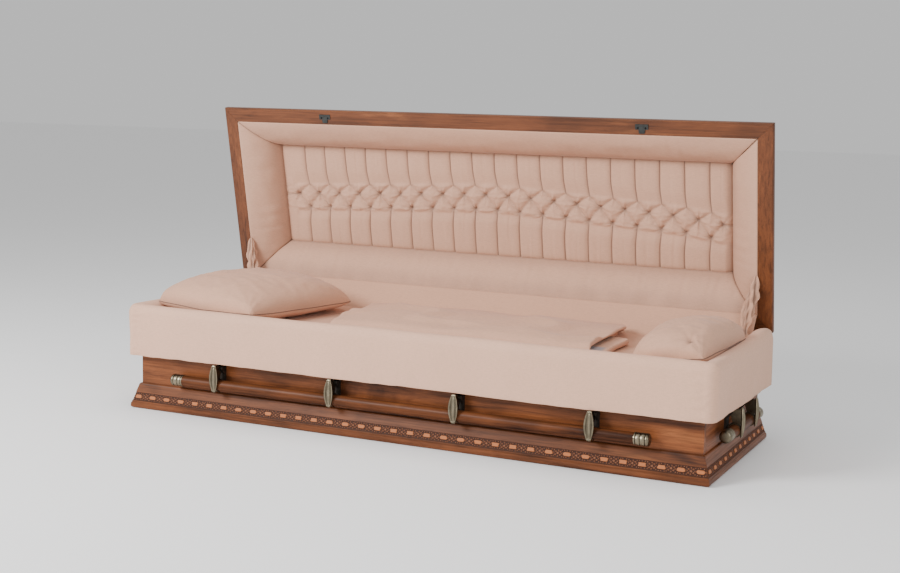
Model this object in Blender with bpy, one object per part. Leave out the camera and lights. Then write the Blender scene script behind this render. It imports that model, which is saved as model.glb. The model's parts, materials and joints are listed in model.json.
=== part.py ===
"""Full-couch wooden casket, lid open, with its upholstery and swing-bar handles.

Metres, +Z up. The origin is the centre of the base's flat underside, +X runs along
the casket towards its foot, and +Y points to the hinged side at the back.
"""
import math

import bmesh
import bpy
from mathutils import Euler, Matrix, Vector

# Clearance between pieces that touch
GAP = 0.0003

# Casket body
BASE_LENGTH = 2.134
BASE_WIDTH = 0.724
BASE_OVERHANG = 0.031
BOTTOM_THICKNESS = 0.019
PANEL_THICKNESS = 0.020
RIM_HEIGHT = 0.352
RAIL_HEIGHT = 0.034
RAIL_ROUNDING = 0.005
RAIL_COVE = 0.015

# Base moulding and its carved band
MOULDING_HEIGHT = 0.0895
NOSE_HEIGHT = 0.0205
SLOPE_FOOT = (0.0040, 0.0250)
SLOPE_HEAD = (0.0215, 0.0815)
BAND_START = 0.0025
BAND_WIDTH = 0.0240
BAND_DEPTH = 0.0012
CARVING_MARGIN = 0.030
CARVING_PITCH = 0.0606
BLOCK_LENGTH = 0.029
BLOCK_WIDTH = 0.0155
BLOCK_RISE = 0.0024
BLOCK_BEVEL = 0.0016
LEAF_REACH = (0.0138, 0.0106)
LEAF_WAIST = 0.0042
LEAF_RISE = 0.0026
CARVING_ROOT = 0.0006

# Lid
LID_OPEN_ANGLE = 78.5
FABRIC_GAP = 0.008
LID_RAIL_WIDTH = 0.052
LID_RAIL_DEPTH = 0.036
LID_RAIL_ROUNDING = 0.003
LID_RAIL_SHOULDER = 0.011
CROWN_STEP = 0.016
CROWN_FILLET = 0.010
CROWN_HEIGHT = 0.1454
CROWN_TOP_INSET = 0.1228
CROWN_THICKNESS = 0.0211
TOP_INSET = 0.108
TOP_THICKNESS = 0.0140
TOP_EDGE = 0.004
TOP_FIELD_INSET = 0.152
TOP_FIELD_SLOPE = 0.022
TOP_FIELD_RISE = 0.0103

# Hinge along the back
HINGE_OUTSET = 0.0065
HINGE_RADIUS = 0.0042
HINGE_LEAF = 0.0025
HINGE_LEAF_HEIGHT = 0.026
HINGE_INSET = 0.117
KNUCKLE_LENGTH = 0.190
HINGE_LEAF_EDGE = 0.0026

# Latch strikes on the lid's front rail
STRIKE_X = 0.62
STRIKE_INSET = 0.024
STRIKE_SIZE = (0.046, 0.018, 0.0022)
STRIKE_TONGUE = (0.024, 0.014)

# Lid upholstery
FIELD_INSET = 0.1668
FIELD_DEPTH = 0.119
ROLL_LIP = 0.0010
ROLL_BULGE = 0.020
ROLL_BACK = 0.012
ROLL_HEAD = 0.028

# Bed, overlay and apron, whose route is measured from the back of the base and from the rim
BED_DROP = 0.017
BED_ROUNDING = 0.012
OVERLAY_LOFT = 0.023
OVERLAY_THICKNESS = 0.0145
OVERLAY_INNER = 0.064
OVERLAY_DROP_FRONT = 0.157
OVERLAY_DROP_END = 0.144
OVERLAY_REAR_GAP = 0.012
APRON_INSET = 0.112
APRON_THICKNESS = 0.0035
APRON_ROUTE = ((0.068, -0.0158), (0.0575, 0.0045), (0.042, 0.018), (0.019, 0.040), (0.0060, 0.0585))

# Throw, with its ends measured from the middle of the bed
THROW_MARGIN = 0.029
THROW_HEIGHT = 0.043
THROW_HEAD = 0.295
THROW_FOLD = 0.637
THROW_HEM = 0.685
THROW_OPENING = 0.157
THROW_ROUNDING = 0.020
THROW_SKEW_HEAD = 0.110
THROW_SKEW_FOOT = 0.057

# Pillows: inset of the middle from the base's end, size, loft above and below the seam
PILLOW_RAMP = 0.035
PILLOW_CLEARANCE = 0.001
PILLOW_LEAST = 0.004
HEAD_PILLOW_INSET = 0.312
HEAD_PILLOW_SIDE = -0.025
HEAD_PILLOW_LIFT = 0.031
HEAD_PILLOW_SIZE = (0.530, 0.490)
HEAD_PILLOW_LOFT = (0.098, 0.034)
FOOT_PILLOW_INSET = 0.162
FOOT_PILLOW_SIDE = -0.045
FOOT_PILLOW_LIFT = 0.037
FOOT_PILLOW_SIZE = (0.255, 0.470)
FOOT_PILLOW_LOFT = (0.070, 0.040)

# Stay sleeves, with their routes measured from the back of the base and from the rim
SLEEVE_INSET = 0.082
SLEEVE_ROUTE = ((0.075, -0.002), (0.056, 0.028), (0.041, 0.088), (0.035, 0.168), (0.037, 0.208))
SLEEVE_RADII = (0.014, 0.0145, 0.018, 0.023, 0.008)
SLEEVE_SIDES = 10

# Handles
BAR_RADIUS = 0.019
BAR_SIDES = 12
BAR_STANDOFF = 0.032
BAR_DROP = 0.058
TIP_LENGTH = 0.050
TIP_BAND = 0.0015
SIDE_BAR_INSET = 0.156
END_BAR_INSET = 0.121
SIDE_ARM_OVERHANG = 0.190
END_ARM_OVERHANG = 0.120
SIDE_ARM_COUNT = 4
END_ARM_COUNT = 2
PIVOT_STANDOFF = 0.019
PIVOT_DROP = 0.172
ARM_HALF_WIDTH = 0.019
ARM_RISE = 0.015
ARM_DROP = 0.080
ARM_RIDGE = 0.0060
ARM_EDGE = 0.0025
RING_WALL = 0.005
WEB_WIDTH = 0.013
EAR_THICKNESS = 0.0072
EAR_CLEARANCE = 0.0005
PIVOT_RADIUS = 0.0065
EAR_WALL = 0.001
EAR_FOOT = 0.024
LUG_ROOT = 0.002
LUG_HALF_WIDTH = 0.0155
LUG_RISE = 0.011
LUG_DROP = 0.084

# Derived sizes
BODY_LENGTH = BASE_LENGTH - 2 * BASE_OVERHANG
BODY_WIDTH = BASE_WIDTH - 2 * BASE_OVERHANG
RIM_INSIDE = BASE_OVERHANG + PANEL_THICKNESS
PANEL_TOP = RIM_HEIGHT - RAIL_HEIGHT
HINGE_Y = BASE_WIDTH / 2 + HINGE_OUTSET
HINGE_Z = RIM_HEIGHT + FABRIC_GAP / 2
LID_RIM_Z = RIM_HEIGHT + FABRIC_GAP
PIVOT_HEIGHT = RIM_HEIGHT - PIVOT_DROP
HINGE_LENGTH = BASE_LENGTH - 2 * HINGE_INSET
BED_HEIGHT = RIM_HEIGHT - BED_DROP
OVERLAY_CREST = RIM_HEIGHT + OVERLAY_LOFT
OVERLAY_BOTTOM_FRONT = RIM_HEIGHT - OVERLAY_DROP_FRONT
OVERLAY_BOTTOM_END = RIM_HEIGHT - OVERLAY_DROP_END
THROW_DEPTH = BODY_WIDTH - 2 * PANEL_THICKNESS - 2 * THROW_MARGIN
SIDES = {"front": 0, "right": 90, "rear": 180, "left": -90}


def clear_scene():
    for obj in list(bpy.data.objects):
        bpy.data.objects.remove(obj, do_unlink=True)


def make_material(name, colour, roughness, metallic=0.0):
    mat = bpy.data.materials.new(name)
    mat.use_nodes = True
    shader = mat.node_tree.nodes["Principled BSDF"]
    shader.inputs["Base Color"].default_value = (*colour, 1.0)
    shader.inputs["Roughness"].default_value = roughness
    shader.inputs["Metallic"].default_value = metallic
    return mat


def make_materials():
    return {
        "wood": make_material("wood", (0.22, 0.085, 0.040), 0.35),
        "fabric": make_material("fabric", (0.61, 0.42, 0.35), 0.9),
        "brass": make_material("antique_brass", (0.42, 0.36, 0.26), 0.32, 1.0),
        "steel": make_material("steel", (0.22, 0.23, 0.22), 0.4, 1.0),
    }


def add_object(name, mesh, mat, parent=None, location=(0, 0, 0), turn=0.0):
    """Link one named sub-part, turned about Z by turn degrees."""
    obj = bpy.data.objects.new(name, mesh)
    if not mesh.materials:
        mesh.materials.append(mat)
    obj.parent = parent
    obj.location = location
    obj.rotation_euler = (0, 0, math.radians(turn))
    bpy.context.collection.objects.link(obj)
    return obj


def add_empty(name, location, rotation=(0, 0, 0)):
    empty = bpy.data.objects.new(name, None)
    empty.location = location
    empty.rotation_euler = rotation
    bpy.context.collection.objects.link(empty)
    return empty


def finish_mesh(name, bm, smooth_angle=None):
    """Turn a bmesh into a mesh with outward faces, smooth below the given angle."""
    bmesh.ops.recalc_face_normals(bm, faces=bm.faces)
    if bm.calc_volume(signed=True) < 0:
        bmesh.ops.reverse_faces(bm, faces=bm.faces)
    mesh = bpy.data.meshes.new(name)
    bm.to_mesh(mesh)
    bm.free()
    if smooth_angle is not None:
        mesh.shade_smooth()
        mesh.set_sharp_from_angle(angle=math.radians(smooth_angle))
    return mesh


def add_loft(bm, rings):
    """Skin a closed solid through rings that have the same number of points."""
    loops = [[bm.verts.new(point) for point in ring] for ring in rings]
    count = len(loops[0])
    for near, far in zip(loops, loops[1:]):
        for i in range(count):
            j = (i + 1) % count
            bm.faces.new((near[i], near[j], far[j], far[i]))
    bm.faces.new(reversed(loops[0]))
    bm.faces.new(loops[-1])


def loft_mesh(name, rings, smooth_angle=None):
    bm = bmesh.new()
    add_loft(bm, rings)
    return finish_mesh(name, bm, smooth_angle)


def box_points(low, high):
    """Two rings of four corners, bottom and top."""
    corners = ((low[0], low[1]), (high[0], low[1]), (high[0], high[1]), (low[0], high[1]))
    return [[(x, y, z) for x, y in corners] for z in (low[2], high[2])]


def box_mesh(name, low, high):
    return loft_mesh(name, box_points(low, high))


def member_mesh(name, profile, along, across):
    """A mitred stick of a rectangular frame, facing -Y; profile is (inset, height)."""
    rings = []
    for end in (-1, 1):
        rings.append([(end * (along / 2 - inset - GAP), inset - across / 2, height)
                      for inset, height in profile])
    return loft_mesh(name, rings)


def span_of(side, length, width):
    """Size of a frame along and across the given side."""
    if side in ("front", "rear"):
        return length, width
    return width, length


def add_frame(names, profile, length, width, mat, parent=None, location=(0, 0, 0)):
    """Four mitred sticks around a rectangle."""
    for side, turn in SIDES.items():
        along, across = span_of(side, length, width)
        name = names.format(side)
        add_object(name, member_mesh(name, profile, along, across), mat, parent, location, turn)


def combine_meshes(name, mesh, other, operation, smooth_angle=None):
    """Exact Boolean of two meshes that share one local frame."""
    target = bpy.data.objects.new(name, mesh)
    operand = bpy.data.objects.new(name + "_operand", other)
    for obj in (target, operand):
        bpy.context.collection.objects.link(obj)
    modifier = target.modifiers.new("combine", "BOOLEAN")
    modifier.operation = operation
    modifier.solver = "EXACT"
    modifier.object = operand
    depsgraph = bpy.context.evaluated_depsgraph_get()
    result = bpy.data.meshes.new_from_object(target.evaluated_get(depsgraph))
    result.name = name
    for obj in (target, operand):
        bpy.data.objects.remove(obj, do_unlink=True)
    if smooth_angle is not None:
        result.shade_smooth()
        result.set_sharp_from_angle(angle=math.radians(smooth_angle))
    return result


def slope_frame():
    """Foot, direction up the slope and outward normal of the moulding's sloped face."""
    foot = Vector(SLOPE_FOOT)
    direction = (Vector(SLOPE_HEAD) - foot).normalized()
    normal = Vector((-direction.y, direction.x))
    return foot, direction, normal


def moulding_profile():
    """Section of the base moulding, from its back foot round the nose to its top."""
    foot, direction, normal = slope_frame()
    lower = foot + direction * BAND_START
    upper = foot + direction * (BAND_START + BAND_WIDTH)
    sunk = normal * BAND_DEPTH
    back = BASE_OVERHANG - GAP
    return [
        (back, 0.0), (0.0045, 0.0), (0.0010, NOSE_HEIGHT * 0.2), (0.0, NOSE_HEIGHT * 0.5),
        (0.0006, NOSE_HEIGHT * 0.8), (0.0032, NOSE_HEIGHT), (0.0060, NOSE_HEIGHT + 0.0014),
        (0.0054, SLOPE_FOOT[1] - 0.0012), tuple(foot), tuple(lower), tuple(lower - sunk),
        tuple(upper - sunk), tuple(upper), SLOPE_HEAD, (0.0245, MOULDING_HEIGHT - 0.0030),
        (0.0275, MOULDING_HEIGHT - 0.0005), (back, MOULDING_HEIGHT),
    ]


def add_block(bm, place, centre):
    """A raised rectangular block with sloping sides."""
    rings = []
    for shrink, rise in ((0.0, -CARVING_ROOT), (BLOCK_BEVEL, BLOCK_RISE)):
        half_u = BLOCK_LENGTH / 2 - shrink
        half_v = BLOCK_WIDTH / 2 - shrink
        corners = ((-half_u, -half_v), (half_u, -half_v), (half_u, half_v), (-half_u, half_v))
        rings.append([place(centre + u, v, rise) for u, v in corners])
    add_loft(bm, rings)


def add_leaf_cross(bm, place, centre):
    """Four pointed leaves in a cross, ridged from each tip to a raised heart."""
    reach_u, reach_v = LEAF_REACH
    waist = LEAF_WAIST
    outline = [(reach_u, reach_v), (0, waist), (-reach_u, reach_v), (-waist, 0),
               (-reach_u, -reach_v), (0, -waist), (reach_u, -reach_v), (waist, 0)]
    rim = [bm.verts.new(place(centre + u, v, -CARVING_ROOT)) for u, v in outline]
    heart = bm.verts.new(place(centre, 0, LEAF_RISE))
    for i, vert in enumerate(rim):
        bm.faces.new((vert, rim[(i + 1) % len(rim)], heart))
    bm.faces.new(reversed(rim))


def carving_mesh(name, along, across):
    """Blocks and leaf crosses along the sunk band of one base moulding."""
    foot, direction, normal = slope_frame()
    ground = foot + direction * (BAND_START + BAND_WIDTH / 2) - normal * BAND_DEPTH

    def place(u, v, rise):
        point = ground + direction * v + normal * rise
        return (u, point.x - across / 2, point.y)

    usable = along - 2 * CARVING_MARGIN
    pitches = max(1, round(usable / CARVING_PITCH))
    step = usable / pitches
    bm = bmesh.new()
    for i in range(pitches + 1):
        add_block(bm, place, -usable / 2 + i * step)
    for i in range(pitches):
        add_leaf_cross(bm, place, -usable / 2 + (i + 0.5) * step)
    return finish_mesh(name, bm)


def add_mouldings(mats):
    for side, turn in SIDES.items():
        along, across = span_of(side, BASE_LENGTH, BASE_WIDTH)
        name = "base_moulding_" + side
        plain = member_mesh(name, moulding_profile(), along, across)
        carving = carving_mesh(name + "_carving", along, across)
        add_object(name, combine_meshes(name, plain, carving, "UNION"), mats["wood"], turn=turn)


def lug_points():
    """Side outline of a lug's ear, from the back plate round the pivot; (out, up)."""
    plate_front = BAR_STANDOFF - BAR_RADIUS - GAP - RING_WALL - GAP
    reach = PIVOT_STANDOFF - plate_front
    radius = PIVOT_RADIUS + EAR_WALL
    arc = [math.radians(a) for a in (90, 40, -10, -60)]
    nose = [(radius * math.cos(a), radius * math.sin(a)) for a in arc]
    root = -reach - EAR_WALL
    return plate_front, [(root, radius)] + nose + [(root, -EAR_FOOT)]


def lugs_mesh(name, positions, panel_y):
    """Back plates and twin ears on a panel's outer face, which lies at panel_y."""
    plate_front, ear = lug_points()
    pivot_y = panel_y - PIVOT_STANDOFF
    bm = bmesh.new()
    for x in positions:
        low = (x - LUG_HALF_WIDTH, panel_y - plate_front, PIVOT_HEIGHT - LUG_DROP)
        high = (x + LUG_HALF_WIDTH, panel_y + LUG_ROOT, PIVOT_HEIGHT + LUG_RISE)
        add_loft(bm, box_points(low, high))
    plates = finish_mesh(name + "_plates", bm)
    bm = bmesh.new()
    for x in positions:
        for hand in (-1, 1):
            inner = x + hand * (WEB_WIDTH / 2 + EAR_CLEARANCE)
            outer = inner + hand * EAR_THICKNESS
            rings = [[(edge, pivot_y - out, PIVOT_HEIGHT + up) for out, up in ear]
                     for edge in sorted((inner, outer))]
            add_loft(bm, rings)
    ears = finish_mesh(name + "_ears", bm)
    return combine_meshes(name, plates, ears, "UNION")


def add_body(mats):
    wood = mats["wood"]
    half_l, half_w = BODY_LENGTH / 2, BODY_WIDTH / 2
    bottom = box_mesh("bottom_board", (-half_l, -half_w, 0), (half_l, half_w, BOTTOM_THICKNESS))
    add_object("bottom_board", bottom, wood)
    foot = BOTTOM_THICKNESS + GAP
    top = PANEL_TOP - GAP
    for side, turn in SIDES.items():
        along, across = span_of(side, BODY_LENGTH, BODY_WIDTH)
        name = "body_panel_" + side
        arms = arm_places(side, along)
        if side in ("left", "right"):
            along -= 2 * (PANEL_THICKNESS + GAP)
        face = -across / 2
        panel = box_mesh(name, (-along / 2, face, foot), (along / 2, face + PANEL_THICKNESS, top))
        lugs = lugs_mesh(name + "_lugs", arms, face)
        add_object(name, combine_meshes(name, panel, lugs, "UNION"), wood, turn=turn)
    add_frame("body_rail_{}", rail_profile(), BASE_LENGTH, BASE_WIDTH, wood)


def rail_profile():
    """Rim rail: a cove up from the panel, then a rounded outer edge."""
    under, crown, cove, step = PANEL_TOP, RIM_HEIGHT, RAIL_COVE, RAIL_ROUNDING * 0.3
    return [(RIM_INSIDE, under), (BASE_OVERHANG, under), (cove * 0.45, under + cove * 0.2),
            (cove * 0.07, under + cove * 0.6), (0, under + cove), (0, crown - RAIL_ROUNDING),
            (step, crown - step), (RAIL_ROUNDING, crown), (RIM_INSIDE, crown)]


def lid_rail_profile():
    depth, edge, shoulder = LID_RAIL_DEPTH, LID_RAIL_ROUNDING, LID_RAIL_SHOULDER
    return [(LID_RAIL_WIDTH, 0), (edge, 0), (0, edge), (0, depth * 0.55), (shoulder * 0.36, depth * 0.8),
            (shoulder, depth), (LID_RAIL_WIDTH, depth)]


def crown_profile():
    """Coved board from the rails up to the top board."""
    foot = LID_RAIL_DEPTH + GAP
    top = CROWN_HEIGHT
    inner_foot = LID_RAIL_WIDTH - LID_RAIL_ROUNDING
    inner_top = CROWN_TOP_INSET + CROWN_THICKNESS
    step, fillet = CROWN_STEP, CROWN_FILLET
    start = (step + fillet * 1.4, foot + fillet)
    run, rise = CROWN_TOP_INSET - start[0], top - start[1]
    cove = []
    for share, sag in ((0.18, 0.02), (0.38, 0.045), (0.58, 0.05), (0.78, 0.035)):
        cove.append((start[0] + run * (share + sag), start[1] + rise * (share - sag)))
    return ([(inner_foot, foot), (step, foot), (step, foot + fillet * 0.7), (step + fillet * 1.2, start[1])]
            + cove + [(CROWN_TOP_INSET, top), (inner_top, top)])


def top_board_mesh():
    """Top board with a raised, bevelled field."""
    base = CROWN_HEIGHT + GAP
    face = base + TOP_THICKNESS
    edge = TOP_EDGE
    levels = ((TOP_INSET + edge, base), (TOP_INSET, base + edge), (TOP_INSET, face - edge),
              (TOP_INSET + edge, face), (TOP_FIELD_INSET - TOP_FIELD_SLOPE, face),
              (TOP_FIELD_INSET, face + TOP_FIELD_RISE))
    rings = []
    for inset, height in levels:
        x = BASE_LENGTH / 2 - inset
        y = BASE_WIDTH / 2 - inset
        rings.append([(-x, -y, height), (x, -y, height), (x, y, height), (-x, y, height)])
    return loft_mesh("lid_top", rings)


def roll_profile():
    """Padded border roll that slants from the rim to the tufted field."""
    start = LID_RAIL_WIDTH + GAP * 2
    end = FIELD_INSET - GAP
    run, drop = end - start, FIELD_DEPTH - ROLL_LIP
    front = []
    for share in (0.0, 0.12, 0.35, 0.65, 0.88, 1.0):
        bulge = ROLL_BULGE * math.sin(math.pi * share)
        front.append((start + run * share + bulge * 0.7, ROLL_LIP + drop * share - bulge * 0.7))
    back_top = CROWN_HEIGHT - ROLL_BACK
    return front + [(end, back_top), (end - ROLL_HEAD, back_top), (start, LID_RAIL_DEPTH - 2 * GAP)]


def add_lid(mats, pivot):
    place = (0, -HINGE_Y, LID_RIM_Z - HINGE_Z)
    wood = mats["wood"]
    add_frame("lid_rail_{}", lid_rail_profile(), BASE_LENGTH, BASE_WIDTH, wood, pivot, place)
    add_frame("lid_crown_{}", crown_profile(), BASE_LENGTH, BASE_WIDTH, wood, pivot, place)
    add_object("lid_top", top_board_mesh(), wood, pivot, place)
    add_frame("lid_border_roll_{}", roll_profile(), BASE_LENGTH, BASE_WIDTH, mats["fabric"], pivot, place)
    x = BASE_LENGTH / 2 - FIELD_INSET
    y = BASE_WIDTH / 2 - FIELD_INSET
    tufted = box_mesh("lid_tufted_panel", (-x, -y, FIELD_DEPTH), (x, y, CROWN_HEIGHT))
    add_object("lid_tufted_panel", tufted, mats["fabric"], pivot, place)
    add_strikes(mats, pivot, place)


def strike_mesh():
    """Latch strike: a plate with a narrower tongue, face down below the rim."""
    length, width, thick = STRIKE_SIZE
    tongue_length, tongue_width = STRIKE_TONGUE
    a, b, c, d = length / 2, tongue_length / 2, width, width + tongue_width
    outline = [(-a, 0), (a, 0), (a, c), (b, c), (b * 0.8, d), (-b * 0.8, d), (-b, c), (-a, c)]
    rings = [[(x, y - c / 2, z) for x, y in outline] for z in (-thick - GAP, -GAP)]
    return loft_mesh("latch_strike", rings)


def add_strikes(mats, pivot, place):
    mesh = strike_mesh()
    y = STRIKE_INSET - BASE_WIDTH / 2
    for side, x in (("left", -STRIKE_X), ("right", STRIKE_X)):
        spot = (place[0] + x, place[1] + y, place[2])
        add_object("latch_strike_" + side, mesh, mats["steel"], pivot, spot)


def hinge_leaf_mesh(name, upward, first):
    """One leaf of the back hinge with every second knuckle; the pin is the origin."""
    inner = -HINGE_OUTSET + GAP
    outer = inner + HINGE_LEAF
    low, high = sorted((upward * HINGE_LEAF_EDGE, upward * HINGE_LEAF_HEIGHT))
    half = HINGE_LENGTH / 2
    leaf = box_mesh(name, (-half, inner, low), (half, outer, high))
    count = max(2, round(HINGE_LENGTH / KNUCKLE_LENGTH))
    pitch = HINGE_LENGTH / count
    arc = [math.radians(a) for a in (90, 45, 0, -45, -90, -135)]
    root = inner + HINGE_LEAF * 0.4
    outline = [(HINGE_RADIUS * math.cos(a), HINGE_RADIUS * math.sin(a)) for a in arc]
    outline += [(root, 0), (root, HINGE_LEAF_EDGE * 1.5)]
    bm = bmesh.new()
    for i in range(first, count, 2):
        ends = (i * pitch - half + GAP, (i + 1) * pitch - half - GAP)
        add_loft(bm, [[(x, y, upward * z) for y, z in outline] for x in ends])
    knuckles = finish_mesh(name + "_knuckles", bm)
    return combine_meshes(name, leaf, knuckles, "UNION")


def add_hinge(mats, pivot):
    body_leaf = hinge_leaf_mesh("hinge_leaf_body", -1, 0)
    add_object("hinge_leaf_body", body_leaf, mats["steel"], location=(0, HINGE_Y, HINGE_Z))
    lid_leaf = hinge_leaf_mesh("hinge_leaf_lid", 1, 1)
    add_object("hinge_leaf_lid", lid_leaf, mats["steel"], pivot)


def bar_mesh(name, length):
    """Round bar with banded metal tips, turned about X."""
    radius, tip, band = BAR_RADIUS, TIP_LENGTH, TIP_BAND
    half = length / 2
    end = [(half - tip, radius), (half - tip, radius + band), (half - tip * 0.66, radius + band),
           (half - tip * 0.60, radius), (half - tip * 0.50, radius + band),
           (half - tip * 0.16, radius + band), (half, radius - 0.006)]
    stations = [(-x, r) for x, r in reversed(end)] + end
    rings = []
    for x, r in stations:
        rings.append([(x, r * math.cos(a), r * math.sin(a)) for a in bar_angles()])
    return loft_mesh(name, rings, 40)


def bar_angles():
    return [2 * math.pi * (k + 0.5) / BAR_SIDES for k in range(BAR_SIDES)]


def shield_mesh():
    """Pointed oval face of an arm with a ridge down its middle; the pivot is the origin."""
    back = -(BAR_STANDOFF - PIVOT_STANDOFF + BAR_RADIUS + GAP + RING_WALL * 0.4)
    edge = back - ARM_EDGE
    crest = edge - ARM_RIDGE
    middle, half = (ARM_RISE - ARM_DROP) / 2, (ARM_RISE + ARM_DROP) / 2
    steps = 6
    bm = bmesh.new()
    outlines = []
    for y in (back, edge):
        points = []
        for i in range(2 * steps):
            angle = math.pi * i / steps
            width = ARM_HALF_WIDTH * math.sin(angle) * (0.86 + 0.14 * abs(math.sin(angle)))
            points.append(bm.verts.new((width, y, middle + half * math.cos(angle))))
        outlines.append(points)
    count = 2 * steps
    for i in range(count):
        j = (i + 1) % count
        bm.faces.new((outlines[0][i], outlines[0][j], outlines[1][j], outlines[1][i]))
    bm.faces.new(outlines[0])
    ridge = [outlines[1][0]]
    for i in range(1, steps):
        angle = math.pi * i / steps
        rise = crest + ARM_RIDGE * (1 - math.sin(angle)) * 0.8
        ridge.append(bm.verts.new((0, rise, middle + half * math.cos(angle))))
    ridge.append(outlines[1][steps])
    for i in range(steps):
        for near, far in ((outlines[1][i], outlines[1][i + 1]),
                          (outlines[1][(count - i) % count], outlines[1][count - i - 1])):
            corners = [near, far, ridge[i + 1], ridge[i]]
            unique = list(dict.fromkeys(corners))
            bm.faces.new(unique)
    return finish_mesh("arm_shield", bm)


def arm_web_mesh():
    """Web of an arm in side view: pivot eye, neck and the ring around the bar."""
    bar_y = -(BAR_STANDOFF - PIVOT_STANDOFF)
    bar_z = -BAR_DROP
    ring = BAR_RADIUS + GAP + RING_WALL
    front = bar_y - ring + RING_WALL * 0.5
    eye = [(PIVOT_RADIUS * math.cos(math.radians(a)), PIVOT_RADIUS * math.sin(math.radians(a)))
           for a in (95, 50, 5, -45)]
    neck = [(-0.010, -0.011), (-0.018, -0.020)]
    angles = (100, 70, 40, 10, -20, -50, -80, -110, -140, -170)
    loop = [(bar_y + ring * math.cos(math.radians(a)), bar_z + ring * math.sin(math.radians(a)))
            for a in angles]
    shoulder = [(front, 0.006), (front + 0.006, 0.0095), (-0.014, 0.0095)]
    outline = eye + neck + loop + shoulder
    rings = [[(x, y, z) for y, z in outline] for x in (-WEB_WIDTH / 2, WEB_WIDTH / 2)]
    return loft_mesh("arm_web", rings)


def arm_mesh():
    arm = combine_meshes("handle_arm", shield_mesh(), arm_web_mesh(), "UNION")
    bore = BAR_RADIUS + GAP
    bar_y = -(BAR_STANDOFF - PIVOT_STANDOFF)
    bar_z = -BAR_DROP
    rings = [[(x, bar_y + bore * math.cos(a), bar_z + bore * math.sin(a)) for a in bar_angles()]
             for x in (-2 * WEB_WIDTH, 2 * WEB_WIDTH)]
    return combine_meshes("handle_arm", arm, loft_mesh("arm_bore", rings), "DIFFERENCE", 35)


def bar_length(side, along):
    """Length of a handle bar on a side that is along metres long."""
    inset = SIDE_BAR_INSET if side in ("front", "rear") else END_BAR_INSET
    return along - 2 * inset


def arm_places(side, along):
    """Places of a bar's arms, evenly spread between its two overhanging ends."""
    count, overhang = SIDE_ARM_COUNT, SIDE_ARM_OVERHANG
    if side in ("left", "right"):
        count, overhang = END_ARM_COUNT, END_ARM_OVERHANG
    reach = bar_length(side, along) / 2 - overhang
    return [reach * (2 * i / (count - 1) - 1) for i in range(count)]


def add_handles(mats):
    """A bar on each side, hung by its arms from an empty on the pivot line."""
    arm = arm_mesh()
    bar_spot = (0, -(BAR_STANDOFF - PIVOT_STANDOFF), -BAR_DROP)
    for side, turn in SIDES.items():
        along, across = span_of(side, BODY_LENGTH, BODY_WIDTH)
        spot = Vector((0, -across / 2 - PIVOT_STANDOFF, PIVOT_HEIGHT))
        spot.rotate(Euler((0, 0, math.radians(turn))))
        pivot = add_empty("handle_pivot_" + side, spot, (0, 0, math.radians(turn)))
        name = "handle_bar_" + side
        add_object(name, bar_mesh(name, bar_length(side, along)), mats["wood"], pivot, bar_spot)
        for number, x in enumerate(arm_places(side, along), 1):
            add_object(f"handle_arm_{side}_{number}", arm, mats["brass"], pivot, (x, 0, 0))


def add_mattress(mats):
    x = BODY_LENGTH / 2 - PANEL_THICKNESS - 2 * GAP
    y = BODY_WIDTH / 2 - PANEL_THICKNESS - 2 * GAP
    r = BED_ROUNDING
    top = BED_HEIGHT
    levels = ((0, BOTTOM_THICKNESS + GAP), (0, top - r), (r * 0.3, top - r * 0.3), (r, top))
    rings = []
    for inset, z in levels:
        a, b = x - inset, y - inset
        rings.append([(-a, -b, z), (a, -b, z), (a, b, z), (-a, b, z)])
    add_object("mattress", loft_mesh("mattress", rings), mats["fabric"])


def overlay_section(bottom, lip=BED_HEIGHT + GAP):
    """Overlay in section as (outward from the rim's edge, height), from the hem up and over."""
    skin = 2 * GAP
    thick, crest, inner = OVERLAY_THICKNESS, OVERLAY_CREST, OVERLAY_INNER
    shelf = RIM_HEIGHT + GAP
    return [
        (skin, bottom), (thick, bottom), (thick * 1.14, (bottom + shelf) / 2), (thick, shelf - 0.004),
        (thick * 0.7, crest - 0.008), (0, crest - 0.002), (-inner * 0.45, crest),
        (-inner * 0.8, crest - 0.005), (-inner * 0.97, crest - 0.018), (-inner, lip), (-RIM_INSIDE - skin, lip),
        (-RIM_INSIDE - skin, shelf), (skin, shelf),
    ]


def corner_points(section, corner, signs, angle):
    """A section at a rim corner: mitred inside the rim, turned on an arc outside it."""
    ring = []
    for out, z in section:
        if out < 0.001:
            ring.append((corner[0] + signs[0] * out, corner[1] + signs[1] * out, z))
        else:
            x = corner[0] + signs[0] * out * math.cos(angle)
            y = corner[1] + signs[1] * out * math.sin(angle)
            ring.append((x, y, z))
    return ring


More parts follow.
